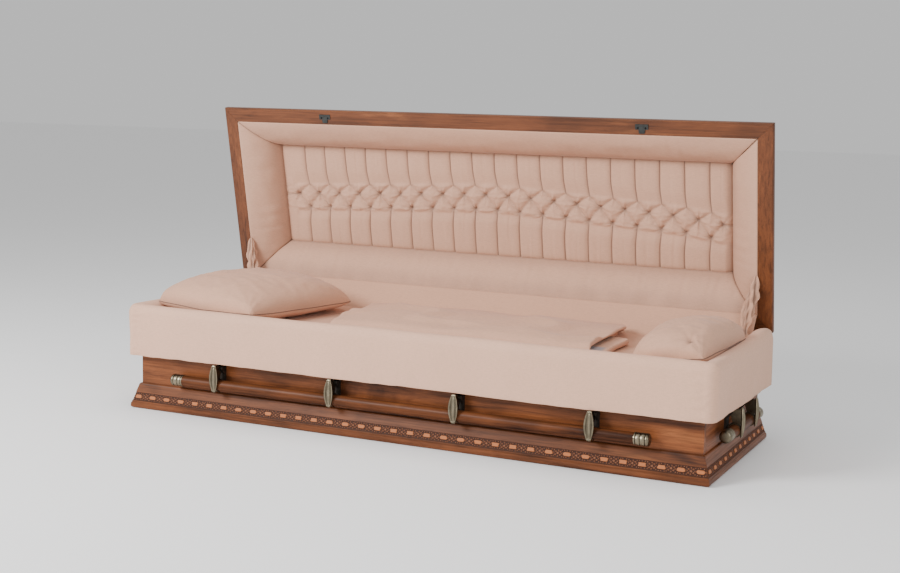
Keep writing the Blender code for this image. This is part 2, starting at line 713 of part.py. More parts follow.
def overlay_mesh():
    """Padded skirt over the rim of the front and both ends, with turned corners."""
    half_l, half_w = BASE_LENGTH / 2, BASE_WIDTH / 2
    rear = half_w - OVERLAY_REAR_GAP
    end_section = overlay_section(OVERLAY_BOTTOM_END)
    raised_section = overlay_section(OVERLAY_BOTTOM_END, RIM_HEIGHT + GAP)
    rail_face = half_w - RIM_INSIDE - GAP
    stops = ((rear, raised_section), (rail_face, raised_section), (rail_face - 0.002, end_section))
    corner_section = overlay_section((OVERLAY_BOTTOM_END + OVERLAY_BOTTOM_FRONT) / 2)
    quarter = [math.pi / 2 * k / 3 for k in range(4)]
    rings = [[(-half_l - out, y, z) for out, z in section] for y, section in stops]
    rings += [corner_points(corner_section, (-half_l, -half_w), (-1, -1), a) for a in quarter]
    front_section = overlay_section(OVERLAY_BOTTOM_FRONT)
    for x in (-half_l * 0.5, half_l * 0.5):
        rings.append([(x, -half_w - out, z) for out, z in front_section])
    rings += [corner_points(corner_section, (half_l, -half_w), (1, -1), a) for a in reversed(quarter)]
    rings += [[(half_l + out, y, z) for out, z in section] for y, section in reversed(stops)]
    bm = bmesh.new()
    add_loft(bm, rings)
    bmesh.ops.remove_doubles(bm, verts=bm.verts, dist=0.00001)
    return finish_mesh("overlay", bm)


def apron_mesh():
    """Fabric strip from the back of the bed up to the open lid's lower border roll."""
    route = [(BASE_WIDTH / 2 - inset, RIM_HEIGHT + rise) for inset, rise in APRON_ROUTE]
    t = APRON_THICKNESS
    front = [(y - t * 0.5, z + t * 0.5) for y, z in route]
    rear = [(y + t * 0.3, z - t * 0.3) for y, z in reversed(route)]
    half = BASE_LENGTH / 2 - APRON_INSET
    rings = [[(x, y, z) for y, z in front + rear] for x in (-half, half)]
    return loft_mesh("lid_apron", rings)


def sleeve_mesh(name, hand):
    """Gathered fabric sleeve of a lid stay, from the bed's corner up into the lid."""
    route = [(BASE_WIDTH / 2 - inset, RIM_HEIGHT + rise) for inset, rise in SLEEVE_ROUTE]
    rings = []
    for i, ((y, z), radius) in enumerate(zip(route, SLEEVE_RADII)):
        before, after = route[max(i - 1, 0)], route[min(i + 1, len(route) - 1)]
        run = Vector((0, after[0] - before[0], after[1] - before[1])).normalized()
        side = Vector((1, 0, 0))
        front = run.cross(side)
        centre = Vector((hand * (BASE_LENGTH / 2 - SLEEVE_INSET), y, z))
        ring = []
        for k in range(SLEEVE_SIDES):
            angle = 2 * math.pi * k / SLEEVE_SIDES
            across, deep = radius * math.cos(angle), radius * 0.7 * math.sin(angle)
            ring.append(tuple(centre + side * across + front * deep))
        rings.append(ring)
    return loft_mesh(name, rings, 60)


def rest_height(x, y):
    """Height of what a pillow lies on: the bed, ramping up to the overlay near the rim."""
    beyond = max(abs(x) - BASE_LENGTH / 2, abs(y) - BASE_WIDTH / 2) + OVERLAY_INNER
    share = min(max(1 + beyond / PILLOW_RAMP, 0), 1)
    return BED_HEIGHT + PILLOW_CLEARANCE + share * (OVERLAY_CREST - BED_HEIGHT)


def cushion_mesh(name, length, width, rise, sink, place, columns=8, rows=6):
    """Soft pillow about its seam plane, lifted where it would sink into what it lies on."""
    back = place.inverted()
    bm = bmesh.new()
    upper, lower = [], []
    for j in range(rows + 1):
        upper.append([])
        lower.append([])
        for i in range(columns + 1):
            u, v = 2 * i / columns - 1, 2 * j / rows - 1
            pinch = 1 - 0.05 * (1 - u * u) * v * v - 0.05 * (1 - v * v) * u * u
            crown = ((1 - abs(u) ** 2.4) * (1 - abs(v) ** 2.4)) ** 0.55
            x, y = length / 2 * u * pinch, width / 2 * v * pinch
            under = place @ Vector((x, y, -sink * crown))
            under.z = max(under.z, rest_height(under.x, under.y))
            over = place @ Vector((x, y, rise * crown))
            over.z = max(over.z, under.z + PILLOW_LEAST * min(1, crown * 4))
            upper[-1].append(back @ over)
            lower[-1].append(back @ (over if crown == 0 else under))
    verts = {}

    def vert(point):
        key = tuple(round(value, 6) for value in point)
        if key not in verts:
            verts[key] = bm.verts.new(point)
        return verts[key]

    for grid in (upper, lower):
        for j in range(rows):
            for i in range(columns):
                corners = (grid[j][i], grid[j][i + 1], grid[j + 1][i + 1], grid[j + 1][i])
                bm.faces.new([vert(point) for point in corners])
    return finish_mesh(name, bm, 60)


def add_pillow(name, mats, centre, size, loft, turn, tilt):
    """Pillow with its seam plane tilted about Y, then turned about Z."""
    rotation = Euler((0, math.radians(tilt), math.radians(turn)))
    place = Matrix.Translation(centre) @ rotation.to_matrix().to_4x4()
    mesh = cushion_mesh(name, *size, *loft, place)
    obj = add_object(name, mesh, mats["fabric"], location=centre)
    obj.rotation_euler = rotation


def throw_mesh():
    """Folded throw on the bed: one thick lap with an open fold at its foot end."""
    base = BED_HEIGHT + GAP
    head, fold, hem, r = -THROW_HEAD, THROW_FOLD, THROW_HEM, THROW_ROUNDING
    inner = fold - THROW_OPENING
    outline = [(head, 0.0), (head - r * 0.8, 0.25), (head - r * 0.5, 0.62), (head + r, 0.90),
               (head + r * 4, 1.0), (fold - r * 9, 1.0), (fold - r * 0.7, 0.97), (fold, 0.86),
               (fold - r * 0.6, 0.74), (inner, 0.56), (inner, 0.44), (hem - r, 0.42),
               (hem, 0.25), (hem - r * 0.7, 0.0)]
    edge = THROW_DEPTH / 2
    rings = []
    for y, lift in ((-edge, 0.70), (r - edge, 0.84), (edge - r, 1.0), (edge, 0.84)):
        back = y / THROW_DEPTH + 0.5
        ring = []
        for x, share in outline:
            skew = THROW_SKEW_HEAD if x < 0 else THROW_SKEW_FOOT
            ring.append((x - skew * back, y, base + share * THROW_HEIGHT * lift))
        rings.append(ring)
    return loft_mesh("throw", rings)


def add_bedding(mats):
    fabric = mats["fabric"]
    add_mattress(mats)
    add_object("overlay", overlay_mesh(), fabric)
    add_object("lid_apron", apron_mesh(), fabric)
    add_object("stay_sleeve_left", sleeve_mesh("stay_sleeve_left", -1), fabric)
    add_object("stay_sleeve_right", sleeve_mesh("stay_sleeve_right", 1), fabric)
    head = (HEAD_PILLOW_INSET - BASE_LENGTH / 2, HEAD_PILLOW_SIDE, BED_HEIGHT + HEAD_PILLOW_LIFT)
    add_pillow("pillow_head", mats, head, HEAD_PILLOW_SIZE, HEAD_PILLOW_LOFT, -5, 2.8)
    foot = (BASE_LENGTH / 2 - FOOT_PILLOW_INSET, FOOT_PILLOW_SIDE, BED_HEIGHT + FOOT_PILLOW_LIFT)
    add_pillow("pillow_foot", mats, foot, FOOT_PILLOW_SIZE, FOOT_PILLOW_LOFT, -6, -7.5)
    add_object("throw", throw_mesh(), fabric)


def build():
    clear_scene()
    mats = make_materials()
    lid_pivot = add_empty("lid_pivot", (0, HINGE_Y, HINGE_Z), (-math.radians(LID_OPEN_ANGLE), 0, 0))
    add_body(mats)
    add_mouldings(mats)
    add_lid(mats, lid_pivot)
    add_hinge(mats, lid_pivot)
    add_handles(mats)
    add_bedding(mats)
    bpy.context.view_layer.update()


build()
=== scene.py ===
"""Looks of a full-couch wooden casket: upholstery, fine carving, fittings and finishes.

Metres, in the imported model's frame: +X towards the foot, +Y towards the hinge, +Z up.
"""

import json
import math

import bmesh
import bpy
import numpy as np
from mathutils import Matrix, Vector, noise


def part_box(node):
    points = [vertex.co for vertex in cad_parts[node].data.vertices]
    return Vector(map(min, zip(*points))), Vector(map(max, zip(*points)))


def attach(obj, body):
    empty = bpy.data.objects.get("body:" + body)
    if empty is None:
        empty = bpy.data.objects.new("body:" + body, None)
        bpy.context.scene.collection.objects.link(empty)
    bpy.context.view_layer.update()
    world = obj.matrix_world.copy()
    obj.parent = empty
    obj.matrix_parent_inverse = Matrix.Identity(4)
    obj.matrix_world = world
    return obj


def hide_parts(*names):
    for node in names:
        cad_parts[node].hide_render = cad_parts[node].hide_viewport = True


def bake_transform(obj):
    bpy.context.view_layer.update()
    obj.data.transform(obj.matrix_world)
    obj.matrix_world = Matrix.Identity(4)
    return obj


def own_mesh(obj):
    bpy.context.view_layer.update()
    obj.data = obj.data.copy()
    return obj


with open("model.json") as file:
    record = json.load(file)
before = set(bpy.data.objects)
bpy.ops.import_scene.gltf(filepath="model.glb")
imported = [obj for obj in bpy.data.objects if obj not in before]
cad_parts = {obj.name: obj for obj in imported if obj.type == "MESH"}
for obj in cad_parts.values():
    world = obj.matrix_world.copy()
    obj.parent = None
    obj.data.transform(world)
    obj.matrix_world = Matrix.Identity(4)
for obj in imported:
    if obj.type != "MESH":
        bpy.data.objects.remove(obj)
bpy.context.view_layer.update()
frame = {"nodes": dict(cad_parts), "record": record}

# Camera, fitted to the straight edges of the body and the lid
CAMERA_SPOT = (2.1452, -4.4529, 1.1419)
CAMERA_YAW = 25.454
CAMERA_PITCH = 7.599
CAMERA_ROLL = 1.288
CAMERA_LENS = 57.45

# Sides, with their turn about Z from the front
SIDES = {"front": 0, "right": 90, "rear": 180, "left": -90}
LONG_SIDES = ("front", "rear")

# Main sizes, read from the frame
HALF_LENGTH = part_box("base_moulding_front")[1].x
HALF_WIDTH = -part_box("base_moulding_front")[0].y
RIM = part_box("body_rail_front")[1].z
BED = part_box("mattress")[1].z
OVERHANG = 0.031
GAP = 0.0004

# Lid
HINGE = Vector(next(j for j in frame["record"]["behaviour"]["joints"] if j["name"] == "lid_hinge")["pos_m"])
LID_ANGLE = 78.5
LID_RIM = RIM + 0.008
LID_RAIL_WIDTH = 0.0526
FIELD_INSET = 0.1665
FIELD_DEPTH = 0.119

# Tufted lining: pleats along X, and the ledge, tufts and shelf as shares of the field from its top
PANELS = 20
FIRST_PLEAT = -0.795
LAST_PLEAT = 0.821
LEDGE = 0.322
UPPER_TUFTS = 0.414
LOWER_TUFTS = 0.550
SHELF = 0.566
PLEAT_LEAN = 0.0050
TUFT_REACH = 0.05

# Overlay's section, as (out from the rim's edge, height)
SKIRT_OUT = 0.0125
SKIRT_HEM = 0.1965
SKIRT_TOP = 0.3415
CREST_CENTRE = (-0.0120, 0.3450)
CREST_SIZE = (0.0245, 0.0315)
SLOPE_CENTRE = (-0.0120, 0.3335)
SLOPE_SIZE = (0.0505, 0.0430)
SKIRT_THICKNESS = 0.0030
OVERLAY_CORNER = 0.024

# Pillows: how far in from the body's edge the overlay starts to press on them
PILLOW_WALL = 0.048

# Throw: its head and foot ends at the front, its thickness and half its width
THROW_HEAD = -0.295
THROW_FOOT = 0.643
THROW_DEPTH = 0.0405
THROW_EDGE = 0.2820

# Sleeve of the right lid stay from the bed up, as (x, y, z, radius)
SLEEVE = (
    (0.980, 0.2830, 0.3400, 0.0190), (0.984, 0.2920, 0.3560, 0.0150), (0.988, 0.3000, 0.3780, 0.0070),
    (0.989, 0.3080, 0.4050, 0.0150), (0.994, 0.3160, 0.4450, 0.0165), (1.001, 0.3230, 0.4850, 0.0175),
    (1.007, 0.3290, 0.5250, 0.0150), (1.010, 0.3310, 0.5520, 0.0080), (1.011, 0.3320, 0.5640, 0.0025))

# Base moulding's section as (inset, height), and its carved band
NOSE_HEIGHT = 0.0205
SLOPE_FOOT = (0.0040, 0.0250)
SLOPE_HEAD = (0.0215, 0.0815)
BAND_START = 0.0015
BAND_WIDTH = 0.0310
BAND_DEPTH = 0.0012
CARVING_MARGIN = 0.030
CARVING_PITCH = 0.0606
BLOCK_SIZE = (0.0265, 0.0135)

# Carved flower and berries between two blocks, as (along, up, radius, height, petals)
FLOWERS = (
    (0.0, 0.0, 0.0040, 1.0, 5), (-0.0076, 0.0052, 0.0030, 0.9, 4), (0.0080, 0.0056, 0.0032, 0.8, 5),
    (-0.0080, -0.0054, 0.0032, 0.9, 5), (0.0074, -0.0050, 0.0030, 1.0, 4), (0.0006, 0.0092, 0.0026, 0.9, 3),
    (-0.0006, -0.0092, 0.0026, 0.9, 3), (-0.0126, 0.0004, 0.0024, 0.8, 0), (0.0126, -0.0004, 0.0024, 0.8, 0),
    (-0.0136, 0.0096, 0.0022, 0.9, 0), (0.0136, 0.0098, 0.0022, 0.8, 0), (-0.0138, -0.0098, 0.0022, 0.8, 0),
    (0.0138, -0.0096, 0.0022, 0.9, 0), (-0.0212, 0.0104, 0.0020, 0.9, 0), (0.0212, -0.0104, 0.0020, 0.9, 0),
    (0.0212, 0.0104, 0.0020, 0.8, 0), (-0.0212, -0.0104, 0.0020, 0.8, 0), (0.0290, 0.0106, 0.0020, 0.9, 0),
    (0.0290, -0.0106, 0.0020, 0.8, 0))

# Handles, from the pivot of an arm
BAR_RADIUS = 0.019
BAR_SPOT = (-0.013, -0.058)
TIP_LENGTH = 0.050
PIVOT_OUT = 0.019
PIVOT_Z = 0.180
ARM_PLACES = {"front": (-0.69, -0.23, 0.23, 0.69), "rear": (-0.69, -0.23, 0.23, 0.69),
              "left": (-0.09, 0.09), "right": (-0.09, 0.09)}

# Metal tip of a bar as (along, radius): a collar, two bands between grooves, and a rounded end
TIP = (
    (0.0002, 0.0150), (0.0002, 0.0198), (0.0010, 0.0204), (0.0040, 0.0205), (0.0048, 0.0200),
    (0.0052, 0.0190), (0.0068, 0.0189), (0.0072, 0.0198), (0.0080, 0.0203), (0.0185, 0.0204),
    (0.0193, 0.0200), (0.0197, 0.0190), (0.0213, 0.0189), (0.0217, 0.0198), (0.0225, 0.0203),
    (0.0345, 0.0204), (0.0353, 0.0200), (0.0357, 0.0190), (0.0375, 0.0189), (0.0379, 0.0197),
    (0.0388, 0.0203), (0.0420, 0.0204), (0.0448, 0.0196), (0.0472, 0.0176), (0.0488, 0.0145),
    (0.0495, 0.0100), (0.0498, 0.0020))

# Colours
# Tint of the painted shade in fabric folds, seams and hollows
PAINTED_SHADE_TINT = (0.21, 0.235, 0.265)
WOOD_TONES = ((0.048, 0.0140, 0.0052), (0.185, 0.0575, 0.0190), (0.320, 0.108, 0.036))
KNOT_TINT = (0.26, 0.19, 0.18)
# Carving coloured by relief height: painted shade in the ground, painted highlight on the tops
RELIEF_SHADE_AND_HIGHLIGHT = ((0.05, (0.042, 0.015, 0.008)), (0.35, (0.145, 0.050, 0.022)),
         (0.72, (0.19, 0.068, 0.030)), (1.0, (0.46, 0.24, 0.15)))
BARE_WOOD = (0.43, 0.148, 0.055)


# Materials

def new_tree(name):
    mat = bpy.data.materials.new(name)
    mat.use_nodes = True
    tree = mat.node_tree
    shader = tree.nodes["Principled BSDF"]
    return mat, tree, shader


def set_inputs(node, **values):
    """Constants by socket name, with _ for a space."""
    for key, value in values.items():
        node.inputs[key.replace("_", " ")].default_value = value
    return node


def add_node(tree, kind, **values):
    return set_inputs(tree.nodes.new(kind), **values)


def join(tree, source, target):
    tree.links.new(source, target)


def mapped(tree, vector, scale=(1, 1, 1), turn=(0, 0, 0), shift=(0, 0, 0)):
    """The vector through a mapping; the turn is in degrees."""
    turn = [math.radians(a) for a in turn]
    mapping = add_node(tree, "ShaderNodeMapping", Scale=scale, Rotation=turn, Location=shift)
    join(tree, vector, mapping.inputs["Vector"])
    return mapping.outputs["Vector"]


def object_coordinates(tree, *placing):
    coordinates = tree.nodes.new("ShaderNodeTexCoord")
    return mapped(tree, coordinates.outputs["Object"], *placing)


def noise_node(tree, vector, scale, detail=2.0, roughness=0.5, distortion=0.0):
    node = add_node(tree, "ShaderNodeTexNoise", Scale=scale, Detail=detail, Roughness=roughness,
                    Distortion=distortion)
    join(tree, vector, node.inputs["Vector"])
    return node.outputs["Fac"]


def ramp(tree, factor, stops):
    """Colour ramp; stops are (position, grey or colour)."""
    node = tree.nodes.new("ShaderNodeValToRGB")
    elements = node.color_ramp.elements
    while len(elements) < len(stops):
        elements.new(0.5)
    for element, (position, colour) in zip(elements, stops):
        element.position = position
        if not hasattr(colour, "__len__"):
            colour = (colour, colour, colour)
        element.color = (*colour, 1)
    join(tree, factor, node.inputs["Fac"])
    return node.outputs["Color"]


def mix_colours(tree, mode, factor, first, second):
    node = tree.nodes.new("ShaderNodeMix")
    node.data_type = "RGBA"
    node.blend_type = mode
    for value, place in ((factor, 0), (first, 6), (second, 7)):
        socket = node.inputs[place]
        if isinstance(value, bpy.types.NodeSocket):
            join(tree, value, socket)
        elif hasattr(value, "__len__"):
            socket.default_value = (*value, 1)
        else:
            socket.default_value = value
    return node.outputs[2]


def shade(tree, base, share, factor, *stops):
    """The base multiplied, by a share, with a ramp of the factor."""
    return mix_colours(tree, "MULTIPLY", share, base, ramp(tree, factor, stops))


def attribute(tree, name):
    node = tree.nodes.new("ShaderNodeAttribute")
    node.attribute_name = name
    return node.outputs["Fac"]


def add_bump(tree, shader, layers):
    """Chain bump layers of (height, strength, distance) into the shader's normal."""
    previous = None
    for height, strength, distance in layers:
        bump = add_node(tree, "ShaderNodeBump", Strength=strength, Distance=distance)
        join(tree, height, bump.inputs["Height"])
        if previous is not None:
            join(tree, previous, bump.inputs["Normal"])
        previous = bump.outputs["Normal"]
    join(tree, previous, shader.inputs["Normal"])


def fabric_material(name, colour, satin=None):
    """Crepe with a fine slubbed weave; a point attribute named painted_shade darkens it with painted shade
    in its folds, seams and hollows.
    """
    mat, tree, shader = new_tree(name)
    plain = object_coordinates(tree)
    grain = noise_node(tree, plain, 900, 2.0, 0.6)
    slub = noise_node(tree, object_coordinates(tree, (70, 70, 620)), 1.0, 2.0, 0.6)
    warp = noise_node(tree, object_coordinates(tree, (620, 620, 60)), 1.0, 2.0, 0.6)
    broad = noise_node(tree, plain, 5.0, 3.0, 0.5)
    base = shade(tree, colour, 1.0, broad, (0.3, 0.955), (0.7, 1.0))
    yarn_stops = ((0.25, 0.88), (0.65, 1.0))
    yarn = shade(tree, ramp(tree, slub, yarn_stops), 0.6, warp, *yarn_stops)
    base = mix_colours(tree, "MULTIPLY", 1.0, base, yarn)
    if satin:
        base = mix_colours(tree, "MIX", attribute(tree, "satin"), base, satin)
    # Painted shade in folds, seams and hollows, by a point attribute
    base = mix_colours(tree, "MULTIPLY", attribute(tree, "painted_shade"), base, PAINTED_SHADE_TINT)
    join(tree, base, shader.inputs["Base Color"])
    set_inputs(shader, Roughness=0.82, Sheen_Weight=0.10, Sheen_Roughness=0.4)
    add_bump(tree, shader, ((grain, 0.35, 0.0005), (slub, 0.25, 0.0004), (warp, 0.25, 0.0004)))
    return mat


def wood_material(name, turn=(0, 0, 0), shift=(0, 0, 0), tone=1.0, gloss=0.20):
    """Stained, satin-lacquered wood with its grain along X before the turn."""
    mat, tree, shader = new_tree(name)
    along = object_coordinates(tree, (1, 1, 1), turn, shift)

    def grain(length, width, *settings):
        """Noise drawn out along the grain."""
        return noise_node(tree, mapped(tree, along, (length, width, width)), 1.0, *settings)

    cells = add_node(tree, "ShaderNodeTexVoronoi", Scale=1.0, Randomness=1.0)
    join(tree, mapped(tree, along, (3.0, 9.0, 9.0)), cells.inputs["Vector"])
    spots = ramp(tree, cells.outputs["Distance"], ((0.05, 1.0), (0.17, 0.3), (0.30, 0.0)))
    knots = shade(tree, spots, 1.0, grain(0.9, 2.2, 1.0, 0.5), (0.50, 0.0), (0.60, 1.0))
    cathedral = grain(1.3, 15.0, 5.0, 0.62, 1.3)
    streaks = grain(3.4, 130.0, 5.0, 0.72, 0.5)
    pores = grain(24.0, 620.0, 2.0, 0.6)
    patches = grain(4.2, 9.0, 2.0, 0.5, 0.6)
    dark, mid, light = [[tone * c for c in colour] for colour in WOOD_TONES]
    base = ramp(tree, cathedral, ((0.30, dark), (0.45, mid), (0.57, mid), (0.72, light)))
    base = shade(tree, base, 0.8, streaks, (0.32, 0.36), (0.58, 1.0))
    base = shade(tree, base, 0.7, patches, (0.34, 0.50), (0.58, 1.08))
    base = shade(tree, base, 0.5, pores, (0.30, 0.42), (0.46, 1.0))
    base = mix_colours(tree, "MULTIPLY", knots, base, KNOT_TINT)
    join(tree, base, shader.inputs["Base Color"])
    join(tree, ramp(tree, streaks, ((0.3, 0.50), (0.7, 0.38))), shader.inputs["Roughness"])
    set_inputs(shader, Specular_IOR_Level=gloss, Coat_Weight=0.04, Coat_Roughness=0.25)
    add_bump(tree, shader, ((streaks, 0.12, 0.0006), (pores, 0.18, 0.0003)))
    return mat


def carved_material(name, turn=(0, 0, 0)):
    """Carved band: painted shade in the ground and painted highlight on the tops, by relief height, and the
    bare wood of the blocks.
    """
    mat, tree, shader = new_tree(name)
    vector = object_coordinates(tree, (1, 1, 1), turn)
    speck = noise_node(tree, vector, 420, 2.0, 0.6)
    streaks = noise_node(tree, mapped(tree, vector, (30, 500, 500)), 1.0, 2.0, 0.6)
    # Painted shade in the carving's ground and painted highlight on its tops
    relief = ramp(tree, attribute(tree, "relief"), RELIEF_SHADE_AND_HIGHLIGHT)
    relief = shade(tree, relief, 0.6, speck, (0.35, 0.45), (0.6, 1.0))
    bare = shade(tree, BARE_WOOD, 0.6, streaks, (0.3, 0.78), (0.6, 1.0))
    base = mix_colours(tree, "MIX", attribute(tree, "block"), relief, bare)
    join(tree, base, shader.inputs["Base Color"])
    set_inputs(shader, Roughness=0.50, Specular_IOR_Level=0.15)
    add_bump(tree, shader, ((speck, 0.2, 0.0003),))
    return mat


def metal_material(name, bright, dark, low=0.24, high=0.5, metallic=1.0):
    """Antiqued metal: polished where it is rubbed, dark in its hollows (attribute recess)."""
    mat, tree, shader = new_tree(name)
    vector = object_coordinates(tree)
    cloud = noise_node(tree, vector, 60, 4.0, 0.6)
    fine = noise_node(tree, vector, 900, 2.0, 0.6)
    base = ramp(tree, cloud, ((0.3, [c * 0.72 for c in bright]), (0.62, bright)))
    base = mix_colours(tree, "MIX", attribute(tree, "recess"), base, dark)
    join(tree, base, shader.inputs["Base Color"])
    join(tree, ramp(tree, cloud, ((0.3, high), (0.7, low))), shader.inputs["Roughness"])
    shader.inputs["Metallic"].default_value = metallic
    add_bump(tree, shader, ((cloud, 0.12, 0.0006), (fine, 0.10, 0.0002)))
    return mat


def make_materials():
    """All finishes by name."""
    crosswise = (0, 0, 90)
    upright = (0, 90, 0)
    return {
        "fabric": fabric_material("fabric", (0.735, 0.435, 0.300)),
        # Lining, bedding and throw are the overlay's fabric made darker: painted shade inside the casket and
        # lid
        "lining": fabric_material("lid_lining_painted_shade", (0.620, 0.360, 0.245)),
        "bedding_painted_shade": fabric_material("bedding_painted_shade", (0.625, 0.350, 0.232)),
        "throw": fabric_material("throw_fabric_painted_shade", (0.640, 0.362, 0.241), satin=(0.33, 0.31, 0.34)),
        # Piping cord of the pillows, coloured brown as painted shade along their seams
        "piping_painted_shade": fabric_material("piping_painted_shade", (0.17, 0.095, 0.068)),
        "wood_x": wood_material("wood_along_x", tone=1.22),
        # End faces: the same wood as wood_x, made brighter (tone 1.4 against 1.22) as painted light on the
        # ends
        "wood_y": wood_material("wood_along_y", crosswise, (3, 0, 0), 1.4),
        "wood_lid": wood_material("wood_lid_rails", shift=(5.3, 2, 1), tone=0.85, gloss=0.28),
        "wood_lid_end": wood_material("wood_lid_ends", upright, (7, 1, 3), 0.88, 0.28),
        "wood_bar": wood_material("wood_bar_x", shift=(1.3, 4, 2), tone=0.66, gloss=0.12),
        "wood_bar_y": wood_material("wood_bar_y", crosswise, (2.3, 4, 2), 0.66, 0.12),
        "wood_base": wood_material("wood_base_x", shift=(8.3, 1, 2), tone=0.95),
        "wood_base_y": wood_material("wood_base_y", crosswise, (4.3, 7, 2), 0.95),
        "carved_x": carved_material("carved_along_x"),
        "carved_y": carved_material("carved_along_y", crosswise),
        "antique": metal_material("antique_brass", (0.27, 0.230, 0.160), (0.020, 0.015, 0.010)),
        # Lugs: real metal, coloured near-black as painted shade round the handle arms
        "lug_shade_metal": metal_material("lug_metal_painted_shade", (0.026, 0.018, 0.012), (0.010, 0.008, 0.006),
                                     0.55, 0.75, 0.4),
        "steel": metal_material("steel", (0.055, 0.058, 0.056), (0.015, 0.015, 0.015), 0.32, 0.5),
    }


# Mesh helpers

def build_mesh(name, points, faces, mat, smooth_angle=None):
    """A linked object from points and faces, smooth all over or below an angle."""
    mesh = bpy.data.meshes.new(name)
    mesh.from_pydata([tuple(p) for p in points], [], faces)
    mesh.update()
    mesh.shade_smooth()
    if smooth_angle is not None:
        mesh.set_sharp_from_angle(angle=math.radians(smooth_angle))
    mesh.materials.append(mat)
    obj = bpy.data.objects.new(name, mesh)
    bpy.context.collection.objects.link(obj)
    return obj


def set_attribute(obj, name, values):
    layer = obj.data.attributes.new(name, "FLOAT", "POINT")
    layer.data.foreach_set("value", np.asarray(values, np.float32).ravel())


def front_attribute(obj, name, grid, rest=0.0):
    """Values on the front of a backed grid, and the rest on its rim behind."""
    values = np.full(len(obj.data.vertices), rest)
    values[:grid.size] = np.clip(grid, 0, 1).ravel()
    set_attribute(obj, name, values)


def loft_faces(rings, count, closed=True, caps=True):
    """Quads between rings of count points, with end caps."""
    faces = []
    reach = count if closed else count - 1
    for r in range(rings - 1):
        for i in range(reach):
            j = (i + 1) % count
            faces.append((r * count + i, r * count + j, (r + 1) * count + j, (r + 1) * count + i))
    if caps and closed:
        faces.append(tuple(reversed(range(count))))
        last = (rings - 1) * count
        faces.append(tuple(range(last, last + count)))
    return faces


def outward(obj):
    """Turn a closed mesh's faces to point out."""
    bm = bmesh.new()
    bm.from_mesh(obj.data)
    bmesh.ops.recalc_face_normals(bm, faces=bm.faces)
    if bm.calc_volume(signed=True) < 0:
        bmesh.ops.reverse_faces(bm, faces=bm.faces)
    bm.to_mesh(obj.data)
    bm.free()
    return obj


def loft(name, rings, mat, smooth_angle=None):
    """Closed solid through rings given as an array (ring, point, xyz)."""
    faces = loft_faces(len(rings), rings.shape[1])
    return outward(build_mesh(name, rings.reshape(-1, 3), faces, mat, smooth_angle))


def grid_edge(rows, cols):
    """Places round the edge of a grid, in order."""
    return ([(0, c) for c in range(cols)] + [(r, cols - 1) for r in range(1, rows)]
            + [(rows - 1, c) for c in range(cols - 2, -1, -1)] + [(r, 0) for r in range(rows - 2, 0, -1)])


def backed_grid(name, front, back, mat):
    """Closed piece from a grid of front points and a flat or offset grid's rim behind it."""
    front, back = np.asarray(front, float), np.asarray(back, float)
    rows, cols = front.shape[:2]
    faces = loft_faces(rows, cols, False, False)
    edge = grid_edge(rows, cols)
    start = rows * cols
    for k, (r, c) in enumerate(edge):
        m = (k + 1) % len(edge)
        next_r, next_c = edge[m]
        faces.append((r * cols + c, start + k, start + m, next_r * cols + next_c))
    faces.append(tuple(start + k for k in range(len(edge))))
    behind = np.array([back[place] for place in edge])
    return outward(build_mesh(name, np.concatenate([front.reshape(-1, 3), behind]), faces, mat))


def smooth_step(low, high, value):
    t = np.clip((np.asarray(value, float) - low) / (high - low), 0, 1)
    return t * t * (3 - 2 * t)


def fade(gap, width):
    """One at no gap, and less with distance."""
    return np.exp(-gap / width)


def bell(gap, width):
    """As fade, with a round top."""
    return np.exp(-(gap / width) ** 2)


def points_of(x, y, z=0.0):
    """One array of points from coordinates that broadcast together."""
    return np.stack(np.broadcast_arrays(x, y, z), axis=-1)


def circle(sides):
    """Angles of the points of a circle."""
    return [2 * math.pi * k / sides for k in range(sides)]


def side_reach(side):
    """Half the length of a side, and how far out from the middle it stands."""
    return (HALF_LENGTH, HALF_WIDTH) if side in LONG_SIDES else (HALF_WIDTH, HALF_LENGTH)


def ripple(points, scale, seed=0.0):
    """Smooth noise from -1 to 1 at each point; scale may differ by axis."""
    points = np.asarray(points, float)
    flat = points.reshape(-1, 3) * np.asarray(scale, float) + seed
    values = np.array([noise.noise(Vector(p)) for p in flat])
    return values.reshape(points.shape[:-1])


def join_objects(name, objects):
    """One object from several; the first one's material slots come first."""
    bpy.ops.object.select_all(action="DESELECT")
    for obj in objects:
        obj.select_set(True)
    bpy.context.view_layer.objects.active = objects[0]
    bpy.ops.object.join()
    objects[0].name = name
    return objects[0]


def turned(points, degrees):
    """Points turned about Z."""
    c, s = math.cos(math.radians(degrees)), math.sin(math.radians(degrees))
    points = np.asarray(points, float)
    x, y, z = points[..., 0], points[..., 1], points[..., 2]
    return points_of(c * x - s * y, s * x + c * y, z)


def lid_points(x, y, depth):
    """World places of points given in the shut lid: x, y and depth up from its rim."""
    angle = math.radians(LID_ANGLE)
    dy = np.asarray(y, float) - HINGE.y
    dz = LID_RIM + np.asarray(depth, float) - HINGE.z
    c, s = math.cos(angle), math.sin(angle)
    world_y = HINGE.y + dy * c + dz * s
    world_z = HINGE.z - dy * s + dz * c
    return points_of(x, world_y, world_z)


def dress(obj, body, slot, *nodes):
    """Let a finished piece ride on its body and stand for CAD nodes."""
    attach(obj, body)
    if nodes:
        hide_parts(*nodes)
    return obj


# Lid lining

def segment_distance(x, y, start, end):
    """Distance of points to a segment in the plane."""
    ax, ay = start
    bx, by = end[0] - ax, end[1] - ay
    t = np.clip(((x - ax) * bx + (y - ay) * by) / (bx * bx + by * by), 0, 1)
    return np.hypot(x - ax - t * bx, y - ay - t * by)


